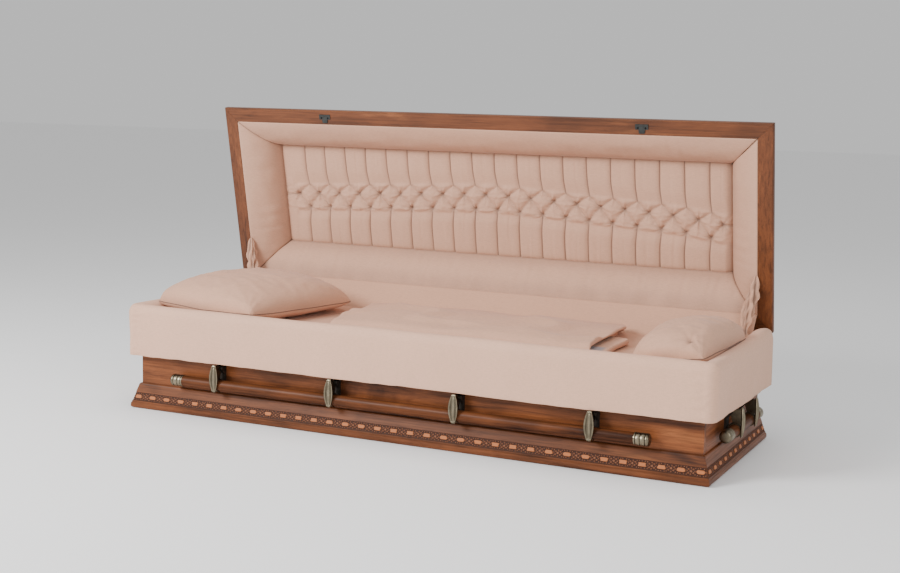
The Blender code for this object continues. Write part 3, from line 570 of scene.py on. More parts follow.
def tuft_drift(x):
    """The tufted band sags towards both ends; share of the field's height."""
    slope = np.where(x < 0, 0.108, 0.148)
    return slope * (np.sqrt(x * x + 0.0036) - 0.06) + 0.03 * smooth_step(0.68, 0.88, x)


def tuft_folds(pleats, height, half_x):
    """Tufts of the lining's band in two rows, and the diagonal folds between them."""
    pitch = pleats[1] - pleats[0]
    uppers = [(x, UPPER_TUFTS * height) for x in np.append(pleats - pitch / 2, pleats[-1] + pitch / 2)]
    lowers = [(x, LOWER_TUFTS * height) for x in pleats]
    folds = []
    for k, x in enumerate(pleats):
        for start in ((x, LEDGE * height), lowers[k]):
            folds += [(start, uppers[k]), (start, uppers[k + 1])]
    for offset in (-0.004, 0.004):
        for tuft, end_x in ((uppers[0], -half_x), (uppers[-1], half_x)):
            folds.append((tuft, (end_x, tuft[1] + offset)))
    return uppers, lowers, folds


def nearest_fold(xs, flat_x, flat_y, folds):
    """Distance of the lining's points from the nearest fold."""
    nearest = np.full(flat_x.shape, 1.0)
    for start, end in folds:
        low, high = min(start[0], end[0]) - TUFT_REACH, max(start[0], end[0]) + TUFT_REACH
        cols = (xs >= low) & (xs <= high)
        gap = segment_distance(flat_x[:, cols], flat_y[:, cols], start, end)
        nearest[:, cols] = np.minimum(nearest[:, cols], gap)
    return nearest


def nearest_tuft(xs, flat_x, flat_y, tufts):
    """Distance and direction of the lining's points from the nearest tuft."""
    nearest = np.full(flat_x.shape, 1.0)
    direction = np.zeros(flat_x.shape)
    for x, y in tufts:
        cols = np.abs(xs - x) < TUFT_REACH
        across, up = flat_x[:, cols] - x, flat_y[:, cols] - y
        gap = np.hypot(across, up)
        nearer = gap < nearest[:, cols]
        nearest[:, cols] = np.where(nearer, gap, nearest[:, cols])
        direction[:, cols] = np.where(nearer, np.arctan2(up, across) + x * 37, direction[:, cols])
    return nearest, direction


def lining_grid(pleats, half_x):
    """Columns gathered towards the pleats, and rows closest in the tufted band."""
    bounds = np.concatenate([[-half_x], pleats, [half_x]])
    per_panel = 24
    t = np.arange(per_panel) / per_panel
    t = t - 0.62 * np.sin(4 * math.pi * t) / (4 * math.pi)
    xs = np.concatenate([low + t * (high - low) for low, high in zip(bounds, bounds[1:])] + [[half_x]])
    rows = np.concatenate([np.linspace(0, 0.33, 30, False), np.linspace(0.33, 0.70, 66, False),
                           np.linspace(0.70, 1.0, 30)])
    flat_x, grid_v = np.meshgrid(xs, rows)
    panel = np.clip(np.searchsorted(bounds, flat_x, side="right") - 1, 0, PANELS - 1)
    from_left = flat_x - bounds[panel]
    from_right = bounds[panel + 1] - flat_x
    at_end = (panel == 0) & (from_left < from_right) | (panel == PANELS - 1) & (from_right < from_left)
    pleat_gap = np.where(at_end, 0.05, np.minimum(from_left, from_right))
    return xs, flat_x, grid_v, from_left, from_right, pleat_gap


def tufted_lining(mats):
    """Pleated strips above and below a band of diamond tufting."""
    half_x = HALF_LENGTH - FIELD_INSET + 0.006
    half_y = HALF_WIDTH - FIELD_INSET + 0.006
    height = 2 * half_y
    pleats = np.linspace(FIRST_PLEAT, LAST_PLEAT, PANELS - 1)
    pitch = pleats[1] - pleats[0]
    xs, flat_x, grid_v, from_left, from_right, pleat_gap = lining_grid(pleats, half_x)
    flat_y = (grid_v - tuft_drift(flat_x)) * height
    uppers, lowers, folds = tuft_folds(pleats, height, half_x)
    fold_gap = nearest_fold(xs, flat_x, flat_y, folds)
    pit_gap, pit_angle = nearest_tuft(xs, flat_x, flat_y, uppers + lowers)
    edge = np.minimum(grid_v, 1 - grid_v) * height
    side_edge = half_x - np.abs(flat_x)
    selvage = np.abs(flat_x - (half_x - 0.0195))
    spots = points_of(flat_x, flat_y)

    # Shares of the upper strip, the lower strip and the band, and of the band's plain ends
    share = flat_y / height
    in_upper = 1 - smooth_step(LEDGE - 0.020, LEDGE + 0.016, share)
    in_lower = smooth_step(SHELF - 0.020, SHELF + 0.024, share)
    in_band = 1 - in_upper - in_lower
    beyond = smooth_step(uppers[0][0] + 0.004, uppers[0][0] - 0.022, flat_x)
    beyond = np.maximum(beyond, smooth_step(uppers[-1][0] - 0.004, uppers[-1][0] + 0.022, flat_x))

    # Rise out of the board
    strip = 0.38 + 0.62 * (1 - fade(from_left, 0.0034)) * (1 - fade(from_right, 0.0075))
    upper = 0.0150 * strip * (1 - 0.40 * (1 - beyond) * smooth_step(0.18, LEDGE, share))
    lower = 0.0150 * strip * (1 - 0.45 * (1 - beyond) * smooth_step(0.68, SHELF, share))
    diamonds = 0.0030 + 0.0140 * (1 - fade(fold_gap, 0.012))
    diamonds = diamonds * (1 - beyond) + beyond * (0.0140 * strip - 0.0045 * fade(fold_gap, 0.0022))
    rise = in_upper * upper + in_lower * lower + in_band * diamonds
    rise -= 0.0085 * bell(pit_gap, 0.0085)
    star = fade(pit_gap, 0.020) * (1 - bell(pit_gap, 0.006))
    rays = 0.0026 * np.cos(7 * pit_angle) + 0.0014 * np.cos(12 * pit_angle + 1)
    rise += rays * star * (in_band > 0.02)
    rise *= 1 - 0.8 * fade(edge, 0.007)
    rise -= 0.010 * bell(side_edge, 0.016)
    rise -= 0.006 * fade(selvage, 0.003) * (1 - in_band)
    streaks = ripple(spots, (95, 5, 1), 3.1) + 0.6 * ripple(spots, (210, 7, 1), 9.7)
    rise += 0.0014 * streaks * strip * (1 - 0.5 * in_band)
    rise += 0.0018 * ripple(spots, (11, 9, 1), 5.5) + 0.0026 * ripple(spots, (90, 90, 1), 15.5) * in_band

    # Sideways lean of the pleats
    near_ledge = smooth_step(0.10, LEDGE + 0.02, share) ** 2 * (1 - smooth_step(LEDGE, LEDGE + 0.08, share))
    lean = PLEAT_LEAN * near_ledge - 0.0045 * smooth_step(SHELF, SHELF + 0.18, share)
    lean += 0.0015 * ripple(spots, (1 / pitch, 12, 1), 1.7)
    lean *= np.clip(side_edge / (1.2 * pitch), 0, 1)
    x = flat_x + lean
    y = grid_v * height - half_y
    front = lid_points(x, y, FIELD_DEPTH + 0.0070 - rise)
    back = lid_points(x, y, np.full_like(x, FIELD_DEPTH + 0.024))
    obj = backed_grid("tufted_lining", front, back, mats["lining"])

    # Painted shade in the pleats, folds and pits, at the ledge and along the edges
    painted_shade = (in_upper + in_lower) * (fade(pleat_gap, 0.0012) + 0.14 * fade(from_right, 0.009))
    painted_shade += (1 - in_band) * (0.5 * fade(selvage, 0.0015) + 0.22 * (flat_x > half_x - 0.0195))
    painted_shade += in_band * (0.20 + 0.25 * beyond) * fade(fold_gap, 0.0018)
    painted_shade += 0.38 * bell(pit_gap, 0.0065) + 0.16 * bell(pit_gap, 0.016)
    painted_shade += 0.40 * np.clip(-np.cos(7 * pit_angle), 0, 1) ** 3 * star * in_band
    painted_shade += 0.40 * fade(np.abs(share - LEDGE) * height, 0.007) * fade(from_left, 0.013)
    painted_shade += 0.45 * fade(edge, 0.006) + 0.35 * fade(side_edge, 0.007)
    front_attribute(obj, "painted_shade", painted_shade)
    return dress(obj, "lid", "fabric", "lid_tufted_panel")


def roll_section(steps):
    """Padded round from the lid's rim (inset, depth) down to the tufted field."""
    low, high = math.radians(17), math.radians(76)
    angles = np.linspace(low, high, steps)
    run = (np.sin(angles) - math.sin(low)) / (math.sin(high) - math.sin(low))
    drop = (math.cos(low) - np.cos(angles)) / (math.cos(low) - math.cos(high))
    inset = LID_RAIL_WIDTH + (FIELD_INSET - LID_RAIL_WIDTH) * run
    depth = 0.0012 + (FIELD_DEPTH - 0.002) * drop
    return inset, depth


def border_roll(mats, side):
    """One side of the padded border, mitred and seamed at its ends."""
    turn = SIDES[side]
    along, across = side_reach(side)
    inset, depth = roll_section(30)
    stations = 260 if side in LONG_SIDES else 90
    t = np.linspace(-1, 1, stations)
    t = t + 0.22 * np.sin(math.pi * t) / math.pi
    t = t / np.abs(t[-1])
    grid_t, grid_inset = np.meshgrid(t, inset, indexing="ij")
    reach = along - grid_inset - GAP
    x = grid_t * reach
    seam = (1 - np.abs(grid_t)) * reach * 0.707
    local = points_of(x, grid_inset, depth)
    soft = 0.0022 * ripple(local, (4, 14, 14), turn * 0.1 + 2.3)
    soft += 0.0024 * ripple(local, (13, 22, 22), turn * 0.1)
    share = np.linspace(0, 1, len(inset))[None, :]
    puff = np.sin(math.pi * share) * soft - 0.0012 * fade(seam, 0.004)
    pull = ripple(local, (42, 4, 4), turn + 7.7) + 0.6 * ripple(local, (95, 6, 6), turn + 3.1)
    gather = 0.0026 if side == "rear" else 0.0014
    puff += gather * pull * np.sin(math.pi * share) ** 0.5
    padded = points_of(x, grid_inset + puff * 0.7 - across, depth - puff * 0.7)

    back_inset = np.array([FIELD_INSET + 0.004, LID_RAIL_WIDTH + 0.012, LID_RAIL_WIDTH])
    back_depth = np.array([FIELD_DEPTH + 0.014, FIELD_DEPTH - 0.045, 0.030])
    behind = points_of(t[:, None] * (along - back_inset - GAP), back_inset - across, back_depth)
    rings = turned(np.concatenate([padded, behind], axis=1), turn)
    world = lid_points(rings[..., 0], rings[..., 1], rings[..., 2])
    obj = loft(f"border_roll_{side}", world, mats["lining"])
    # Painted shade at the mitre seams and towards the tufted field; on the rear roll also in its lower part
    # by the rail
    painted_shade = 0.24 * fade(seam, 0.0016)
    painted_shade += 0.18 * smooth_step(0.55, 0.92, share) + 0.22 * smooth_step(0.92, 1.0, share)
    if side == "rear":
        painted_shade += 0.16 * (1 - smooth_step(0.16, 0.46, share)) * (1 + 0.8 * ripple(local, (16, 2, 2), 5.9))
    values = np.concatenate([np.clip(painted_shade, 0, 1), np.zeros((stations, 3))], axis=1)
    set_attribute(obj, "painted_shade", values)
    return dress(obj, "lid", "fabric", "lid_border_roll_" + side)


# Body upholstery

def bed_sheet(mats):
    """Stuffed bed with a slightly uneven top."""
    low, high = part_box("mattress")
    u, v = np.meshgrid(np.linspace(-1, 1, 190), np.linspace(-1, 1, 64))
    x, y = u * high.x, v * high.y
    flat = points_of(x, y)
    edge = np.minimum((1 - np.abs(u)) * high.x, (1 - np.abs(v)) * high.y)
    z = BED - 0.0030 + 0.0016 * ripple(flat, (3.2, 5, 1), 4.4) + 0.0008 * ripple(flat, (14, 9, 1), 8.8)
    z -= 0.010 * fade(edge, 0.006)
    obj = backed_grid("bed", points_of(x, y, z), points_of(x, y, low.z + 0.001), mats["bedding_painted_shade"])
    return dress(obj, "casket", "fabric", "mattress")


def skirt_path():
    """Stations round the rim from rear left to rear right: (x, y, way out, signs of a corner)."""
    x, y = HALF_LENGTH, HALF_WIDTH
    inner_x, inner_y = x - OVERLAY_CORNER, y - OVERLAY_CORNER
    rear = y - 0.0125
    side_steps, corner_steps, front_steps = 46, 12, 190

    def straight(start, end, out, steps):
        return [(start[0] + (end[0] - start[0]) * k / steps, start[1] + (end[1] - start[1]) * k / steps,
                 out, None) for k in range(steps + 1)]

    def arc(side, first, last):
        stations = []
        for k in range(corner_steps + 1):
            a = math.radians(first + (last - first) * k / corner_steps)
            out = (side * math.cos(a), -math.sin(a))
            stations.append((side * inner_x + OVERLAY_CORNER * out[0], -inner_y + OVERLAY_CORNER * out[1],
                             out, (side, -1)))
        return stations

    return (straight((-x, rear), (-x, -inner_y), (-1, 0), side_steps)[:-1] + arc(-1, 0, 90)
            + straight((-inner_x, -y), (inner_x, -y), (0, -1), front_steps)[1:-1] + arc(1, 90, 0)
            + straight((x, -inner_y), (x, rear), (1, 0), side_steps)[1:])


def rim_point(station, out, height):
    """Point at a station, out from the rim's edge; well inside a corner it is mitred."""
    x, y, way, signs = station
    if signs and -out > OVERLAY_CORNER:
        return (signs[0] * (HALF_LENGTH + out), signs[1] * (HALF_WIDTH + out), height)
    return (x + way[0] * out, y + way[1] * out, height)


def overlay_section():
    """Overlay in section as (out from the rim's edge, height): hem, face, crest, inner slope."""
    face = [(SKIRT_OUT, z) for z in np.linspace(SKIRT_HEM, SKIRT_TOP, 32)]
    crest, inner = [], []
    for a in (3, 8, 12.84, 18, 24, 31, 39, 48, 58, 69, 80, 90):
        angle = math.radians(a)
        crest.append((CREST_CENTRE[0] + CREST_SIZE[0] * math.cos(angle),
                      CREST_CENTRE[1] + CREST_SIZE[1] * math.sin(angle)))
    for a in (80, 70, 60, 50, 40, 30, 20, 10, 2):
        angle = math.radians(a)
        inner.append((SLOPE_CENTRE[0] - SLOPE_SIZE[0] * math.cos(angle),
                      SLOPE_CENTRE[1] + SLOPE_SIZE[1] * math.sin(angle)))
    return np.array(face + crest + inner)


def overlay_rings(stations, section, lengths, seam_gap):
    """Points of the padded overlay, station by station: a hanging skirt and a roll over the rim."""
    outs, heights = section.T
    shape = (len(stations), len(section))
    along = points_of(np.broadcast_to(lengths[:, None], shape), heights)
    hang = smooth_step(0.345, 0.20, heights)[None, :]
    is_face = (1 - smooth_step(0.330, 0.372, heights) * (outs < 0.02))[None, :]
    wave = 0.0055 * ripple(along, (3.3, 1.4, 1), 2.2) + 0.0038 * ripple(along, (9, 3, 1), 6.1)
    wave += 0.0034 * ripple(along, (30, 8, 1), 8.1) * ripple(along, (2.4, 3, 1), 3.3)
    swell = wave * (0.30 + 0.70 * hang) * is_face
    crown = 0.0022 * ripple(along, (5, 3, 1), 11.3) * smooth_step(0.352, 0.37, heights)[None, :]
    hem_drop = (0.0034 * ripple(along, (2.4, 0, 1), 7.9) + 0.0022 * ripple(along, (17, 0, 1), 1.9)) * hang
    pucker = np.sin(2 * math.pi * heights / 0.034 + 8 * ripple(along, (26, 15, 1), 4.0))
    swell += 0.0028 * pucker * fade(seam_gap, 0.015) * is_face
    swell -= 0.0055 * np.array([station[0] < 0.012 - HALF_LENGTH for station in stations])[:, None] * hang
    swell -= 0.0030 * bell(seam_gap, 0.0040) * (outs[None, :] > -0.02)

    end_gap = np.minimum(lengths, lengths[-1] - lengths)
    cap = np.sqrt(np.clip(1 - (1 - np.clip(end_gap / 0.030, 0, 1)) ** 2, 0, 1))
    lift = np.where(lengths > lengths[-1] / 2, 0.013, 0.006) * bell(end_gap - 0.07, 0.10)
    rings = np.zeros((*shape, 3))
    for k, station in enumerate(stations):
        for i, (out, z) in enumerate(section):
            out = out + swell[k, i]
            if z > RIM + 0.0001:
                above = (z - RIM + crown[k, i]) * (0.35 + 0.65 * cap[k])
                z = RIM + above + lift[k] * smooth_step(RIM, 0.372, z)
            else:
                z = z + hem_drop[k, i]
            if out > 0:
                out = 0.0012 + (out - 0.0012) * (0.25 + 0.75 * cap[k])
            rings[k, i] = rim_point(station, out, z)
    return rings


def overlay_pieces(mats):
    """The overlay in two pieces: a roll over the rim and a skirt hanging from it."""
    stations = skirt_path()
    section = overlay_section()
    places = np.array([station[:2] for station in stations])
    lengths = np.concatenate([[0], np.cumsum(np.hypot(*np.diff(places, axis=0).T))])
    front = [length for length, station in zip(lengths, stations) if station[2] == (0, -1)]
    seams = (front[0] + 0.004, front[-1] - 0.004)
    seam_gap = np.minimum(*[np.abs(lengths - seam) for seam in seams])[:, None]
    rings = overlay_rings(stations, section, lengths, seam_gap)
    # Painted shade at the front corner seams and along the hem
    painted_shade = 0.34 * bell(seam_gap, 0.0024) + 0.10 * fade(np.arange(len(section))[None, :], 0.9)
    outer = section[section[:, 0] > 0]
    split = int(np.argmin(np.abs(outer[:, 1] - RIM)))

    skirt = rings[:, :split + 1]
    inner = skirt.copy()
    inner[:, :, :2] -= np.array([station[2] for station in stations])[:, None] * SKIRT_THICKNESS
    inner[:, 0, 2] += 0.0006
    hanging = loft("overlay_skirt", np.concatenate([skirt, inner[:, ::-1]], axis=1), mats["fabric"], 50)
    values = np.concatenate([painted_shade[:, :split + 1], np.zeros((len(stations), split + 1))], axis=1)
    set_attribute(hanging, "painted_shade", np.clip(values, 0, 1))

    underside = ((-0.0615, BED - 0.004), (-0.0520, BED - 0.004), (-0.0516, RIM + GAP), (0.0020, RIM + GAP))
    under = np.array([[rim_point(station, out, z) for out, z in underside] for station in stations])
    top = loft("overlay_roll", np.concatenate([rings[:, split:], under], axis=1), mats["fabric"], 50)
    values = np.concatenate([painted_shade[:, split:], np.zeros((len(stations), len(underside)))], axis=1)
    set_attribute(top, "painted_shade", np.clip(values, 0, 1))
    dress(hanging, "casket", "fabric")
    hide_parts("overlay")
    dress(top, "casket", "fabric")
    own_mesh(top)
    return hanging, top


def apron(mats):
    """Fabric from the back of the bed up to the open lid's lower border roll."""
    steps, cols = 30, 220
    start = np.array([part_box("lid_apron")[0].y - 0.010, BED - 0.004])
    end = lid_points(0, HALF_WIDTH - LID_RAIL_WIDTH - 0.010, 0.0020)[1:]
    middle = np.array([HALF_WIDTH - 0.048, RIM + 0.012])
    share = np.linspace(0, 1, steps)[:, None]
    curve = (1 - share) ** 2 * start + 2 * share * (1 - share) * middle + share ** 2 * end
    half = HALF_LENGTH - 0.054
    x = np.linspace(-half, half, cols)
    y, z = curve[:, :1], curve[:, 1:]

    # Its ends lie over the inner slope of the overlay's roll
    from_crest = np.abs(x) - HALF_LENGTH - CREST_CENTRE[0]
    arch = np.sqrt(np.clip(1 - (from_crest / SLOPE_SIZE[0]) ** 2, 0, 1))
    slope = SLOPE_CENTRE[1] + 0.006 + (SLOPE_SIZE[1] + 0.003) * arch
    flat = points_of(x, y, np.maximum(z, slope * (from_crest > -0.052)))
    wave = 0.0013 * ripple(flat, (5, 16, 16), 3.7) + 0.0005 * ripple(flat, (22, 9, 9), 9.1)
    wave = wave * np.sin(math.pi * share)
    front = flat + wave[..., None] * np.array([0, -0.72, 0.69])
    back = front + np.array([0, 0.0012, -0.0012])
    rings = np.moveaxis(np.concatenate([front, back[::-1]], axis=0), 1, 0)
    obj = loft("lid_apron_cloth", rings, mats["bedding_painted_shade"])
    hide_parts("lid_apron")
    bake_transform(obj)
    return obj


def pillow_relief(flat, crown, inside, size, seed, tuft):
    """Soft dents, folds, gathers from the corners, puckers from the seam and a tuft's pit."""
    x, y = flat[..., 0], flat[..., 1]
    relief = (0.0060 * ripple(flat, (6, 6, 1), seed) + 0.0030 * ripple(flat, (19, 15, 1), seed + 2)) * crown
    folds = 1 - np.abs(ripple(flat, (8, 19, 1), seed + 9)) * 2.4
    relief += (0.0036 * np.clip(folds, 0, 1) + 0.0019 * ripple(flat, (42, 34, 1), seed + 5)) * crown
    for right in (-1, 1):
        for rear in (-1, 1):
            dx, dy = x - right * size[0] / 2 * 0.93, y - rear * size[1] / 2 * 0.93
            gap = np.hypot(dx, dy)
            drift = ripple(flat, (13, 13, 1), seed + right + 2 * rear)
            wave = np.cos(17 * np.arctan2(dy, dx) + 3 * drift)
            relief += 0.0022 * wave * fade(gap, 0.075) * (1 - fade(gap, 0.02)) * inside
    puckers = 64
    for k in range(puckers):
        spot = 2 * math.pi * k / puckers + 0.04 * math.sin(7.3 * k + seed)
        scale = 1 / max(abs(math.cos(spot)), abs(math.sin(spot)))
        edge_x, edge_y = scale * size[0] / 2 * math.cos(spot), scale * size[1] / 2 * math.sin(spot)
        strength = 0.0020 * (0.5 + 0.5 * math.sin(12.9 * k + seed))
        gap = np.hypot(x - edge_x * 0.96, y - edge_y * 0.96)
        line = np.abs(x * edge_y - y * edge_x) / math.hypot(edge_x, edge_y)
        relief -= strength * fade(line, 0.0035) * fade(gap, 0.045) * inside
    dimple = np.zeros_like(x)
    if tuft:
        dx, dy = x - tuft[0], y - tuft[1]
        gap = np.hypot(dx, dy)
        rays = np.cos(6 * np.arctan2(dy, dx) + 0.6)
        relief -= 0.013 * bell(gap, 0.011) + 0.006 * bell(gap, 0.035)
        relief += 0.0034 * rays * fade(gap, 0.045) * (1 - bell(gap, 0.010))
        dimple = bell(gap, 0.006)
    return relief, dimple


def pillow(mats, name, node, centre, size, rise, sink, turn, tilt, seed, tuft=None):
    """Stuffed pillow with a piped seam, lying on the bed and against the overlay."""
    cols, rows = 96, 84
    u, v = np.meshgrid(*[np.sin(np.linspace(-1, 1, count) * math.pi / 2) for count in (cols, rows)])
    x = size[0] / 2 * u * np.sqrt(1 - 0.14 * v * v)
    y = size[1] / 2 * v * np.sqrt(1 - 0.14 * u * u)
    crown = np.clip((1 - np.abs(u) ** 2.6) * (1 - np.abs(v) ** 2.6), 0, 1) ** 0.40
    flat = points_of(x, y)
    edge = np.minimum(size[0] / 2 - np.abs(x), size[1] / 2 - np.abs(y)) + 0.002
    inside = 1 - fade(np.clip(edge, 0, 1), 0.006)
    relief, dimple = pillow_relief(flat, crown, inside, size, seed, tuft)
    seam_wave = 0.0035 * ripple(flat, (7, 7, 1), seed + 31)
    rotation = Matrix.Rotation(math.radians(turn), 3, "Z") @ Matrix.Rotation(math.radians(tilt), 3, "Y")
    layers = []
    for sign, height, detail in ((1, rise, 1.0), (-1, sink, 0.6)):
        local = points_of(x, y, sign * (height * crown + detail * relief) + seam_wave)
        world = local @ np.array(rotation).T + np.array(centre)
        for axis, wall in ((0, HALF_LENGTH - PILLOW_WALL), (1, HALF_WIDTH - PILLOW_WALL)):
            past = np.clip(np.abs(world[..., axis]) - wall, 0, 1)
            world[..., axis] -= np.sign(world[..., axis]) * 0.55 * past
        world[..., 2] = np.maximum(world[..., 2], rest_surface(world[..., 0], world[..., 1]))
        layers.append(world)
    top, bottom = layers
    top[..., 2] = np.maximum(top[..., 2], bottom[..., 2] + 0.002 * np.minimum(1, crown * 5))
    bottom[0], bottom[-1], bottom[:, 0], bottom[:, -1] = top[0], top[-1], top[:, 0], top[:, -1]

    faces = loft_faces(rows, cols, False, False)
    faces += [tuple(rows * cols + i for i in reversed(face)) for face in faces]
    points = np.concatenate([top.reshape(-1, 3), bottom.reshape(-1, 3)])
    obj = build_mesh(name, points, faces, mats["bedding_painted_shade"])
    # Painted shade along the seam and in the tuft's pit
    painted_shade = np.clip(0.55 * fade(edge, 0.0022) + 0.8 * dimple, 0, 1)
    set_attribute(obj, "painted_shade", np.tile(painted_shade.ravel(), 2))
    bm = bmesh.new()
    bm.from_mesh(obj.data)
    bmesh.ops.remove_doubles(bm, verts=bm.verts, dist=0.00001)
    bm.to_mesh(obj.data)
    bm.free()
    outward(obj)
    seam = even_path(np.array([top[place] for place in grid_edge(rows, cols)]), 0.005)
    # A piping cord along the seam; its brown colour is painted shade
    pipe = tube(name + "_piping", seam, 0.0015, 7, mats["piping_painted_shade"])
    for piece in (obj, pipe):
        dress(piece, "casket", "fabric")
        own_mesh(piece)
    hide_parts(node)
    return obj


def even_path(path, spacing):
    """The closed path resampled to even steps."""
    closed = np.concatenate([path, path[:1]])
    lengths = np.concatenate([[0], np.cumsum(np.linalg.norm(np.diff(closed, axis=0), axis=1))])
    count = max(8, int(lengths[-1] / spacing))
    places = np.linspace(0, lengths[-1], count, endpoint=False)
    return np.stack([np.interp(places, lengths, closed[:, k]) for k in range(3)], axis=-1)


def rest_surface(x, y):
    """Height of what a pillow lies on: the bed, then the overlay's inner slope."""
    beyond = np.maximum(np.abs(x) - HALF_LENGTH, np.abs(y) - HALF_WIDTH)
    share = smooth_step(-0.072, -0.030, beyond)
    return BED + 0.0008 + share * 0.041


def tube(name, path, radius, sides, mat):
    """Round tube along the points of a closed path."""
    count = len(path)
    up = Vector((0, 0, 1))
    rings = []
    for k in range(count):
        run = (Vector(path[(k + 1) % count]) - Vector(path[k - 1])).normalized()
        side = run.cross(up).normalized()
        rise = side.cross(run)
        centre = Vector(path[k])
        rings.append([tuple(centre + radius * (math.cos(a) * side + math.sin(a) * rise))
                      for a in circle(sides)])
    faces = loft_faces(count, sides, True, False)
    last = (count - 1) * sides
    for i in range(sides):
        j = (i + 1) % sides
        faces.append((last + i, last + j, j, i))
    return outward(build_mesh(name, np.array(rings).reshape(-1, 3), faces, mat))


def throw_section(y):
    """Section of the throw at y: rows of (x, height share, satin, painted shade), head end and fold."""
    back = (y + THROW_EDGE) / (2 * THROW_EDGE)
    head = THROW_HEAD - 0.110 * back + 0.006 * math.sin(9 * y)
    fold = THROW_FOOT - 0.075 * (y + 0.295) + 0.003 * math.sin(17 * y + 1)
    fold -= 0.030 * smooth_step(0.20, THROW_EDGE, y)
    lap = 0.078 - 0.020 * back + 0.040 * max(back - 0.30, 0)
    hem = fold - 0.030 + lap * (1 - smooth_step(0.040, 0.066, y))
    mouth = 0.100 * (1 - smooth_step(-0.02, 0.16, y)) + 0.012
    opening = 0.12 * (1 - smooth_step(0.02, 0.20, y))
    near = 1 - smooth_step(0.00, 0.14, y)

    def round_end(angles, x, reach, middle, height, dark=0.0, dark_below=-90):
        """Rounded end of a layer, with painted shade on its underside below an angle."""
        rows = []
        for a in angles:
            angle = math.radians(a)
            rows.append((x + reach * math.cos(angle), middle + height * math.sin(angle), 0,
                         dark * (a < dark_below)))
        return rows

    section = round_end(np.linspace(-90, 90, 16), head + 0.022, -0.022, 0.5, 0.5)
    section += [(x, 1.0, 0, 0) for x in np.linspace(head + 0.030, fold - 0.011, 130)]
    # Painted shade under the fold's rounded end, in its mouth and under the flap's end, strongest at the
    # front
    section += round_end(np.linspace(75, -90, 9), fold - 0.0055, 0.0055, 0.86, 0.14, 0.45 * near, -60)
    section += [(x, 0.60 + opening, 0, 0.5 * near) for x in np.linspace(fold - 0.011, fold - mouth, 10)]
    section.append((fold - mouth - 0.010, 0.57, 0, 0.8 * near))
    for x in np.linspace(fold - mouth, hem - 0.010, 14):
        satin = 0.9 * float(x < fold + 0.030 and y < -0.16)
        section.append((x, 0.58 - opening, satin, 0.3 * near * (x < fold - 0.01)))
    section += round_end(np.linspace(75, -90, 8), hem - 0.0060, 0.0060, 0.235, 0.345 - opening,
                         0.35 * near, -70)
    return np.array(section, float), head, fold


def throw(mats):
    """Folded throw: an upper lap, its open fold at the foot end, and a flap below."""
    base = BED + 0.0006
    rings, satin, painted_shade = [], [], []
    for y in THROW_EDGE * np.sin(np.linspace(-1, 1, 110) * math.pi / 2):
        section, head, fold = throw_section(y)
        x, share = section[:, 0], section[:, 1]
        spots = points_of(x, y)
        dome = np.clip(1 - (y / THROW_EDGE) ** 2, 0, 1) ** 0.8 * smooth_step(head, head + 0.16, x)
        swell = 0.0062 * ripple(spots, (3.2, 5.5, 1), 6.6) + 0.0032 * ripple(spots, (9, 14, 1), 1.1)
        swell = swell + 0.0150 * dome * (1 - smooth_step(fold - 0.26, fold - 0.02, x))
        skewed = points_of(x + 0.8 * y, y - 0.5 * x)
        ridge = 0.0110 * np.clip(1 - np.abs(ripple(skewed, (2.4, 6.5, 1), 14.2)) * 3.2, 0, 1)
        lift = 0.0030 * smooth_step(fold - 0.20, fold, x)
        rounding = math.sqrt(max(0.03, 1 - (1 - min(1, (THROW_EDGE - abs(y)) / 0.045)) ** 2))
        fall = 1 - 0.42 * smooth_step(0.07, THROW_EDGE, y)
        thick = THROW_DEPTH + (swell + ridge - 0.003) * (share > 0.9) + lift * (share > 0.6)
        rings.append(points_of(x, y, base + share * fall * thick * rounding))
        satin.append(section[:, 2])
        painted_shade.append(section[:, 3])
    obj = loft("throw_cloth", np.array(rings), mats["throw"], 60)
    set_attribute(obj, "satin", np.array(satin))
    set_attribute(obj, "painted_shade", np.array(painted_shade))
    return dress(obj, "casket", "fabric", "throw")


def shell(name, outer, inner, mat):
    """Open tube with a wall, from outer and inner rings of equal size."""
    rings, count = outer.shape[:2]
    faces = []
    size = rings * count
    for r in range(rings - 1):
        for i in range(count):
            j = (i + 1) % count
            quad = (r * count + i, r * count + j, (r + 1) * count + j, (r + 1) * count + i)
            faces.append(quad)
            faces.append(tuple(size + k for k in reversed(quad)))
    for r, flip in ((0, False), (rings - 1, True)):
        for i in range(count):
            j = (i + 1) % count
            quad = (r * count + i, size + r * count + i, size + r * count + j, r * count + j)
            faces.append(tuple(reversed(quad)) if flip else quad)
    points = np.concatenate([outer.reshape(-1, 3), inner.reshape(-1, 3)])
    return outward(build_mesh(name, points, faces, mat))


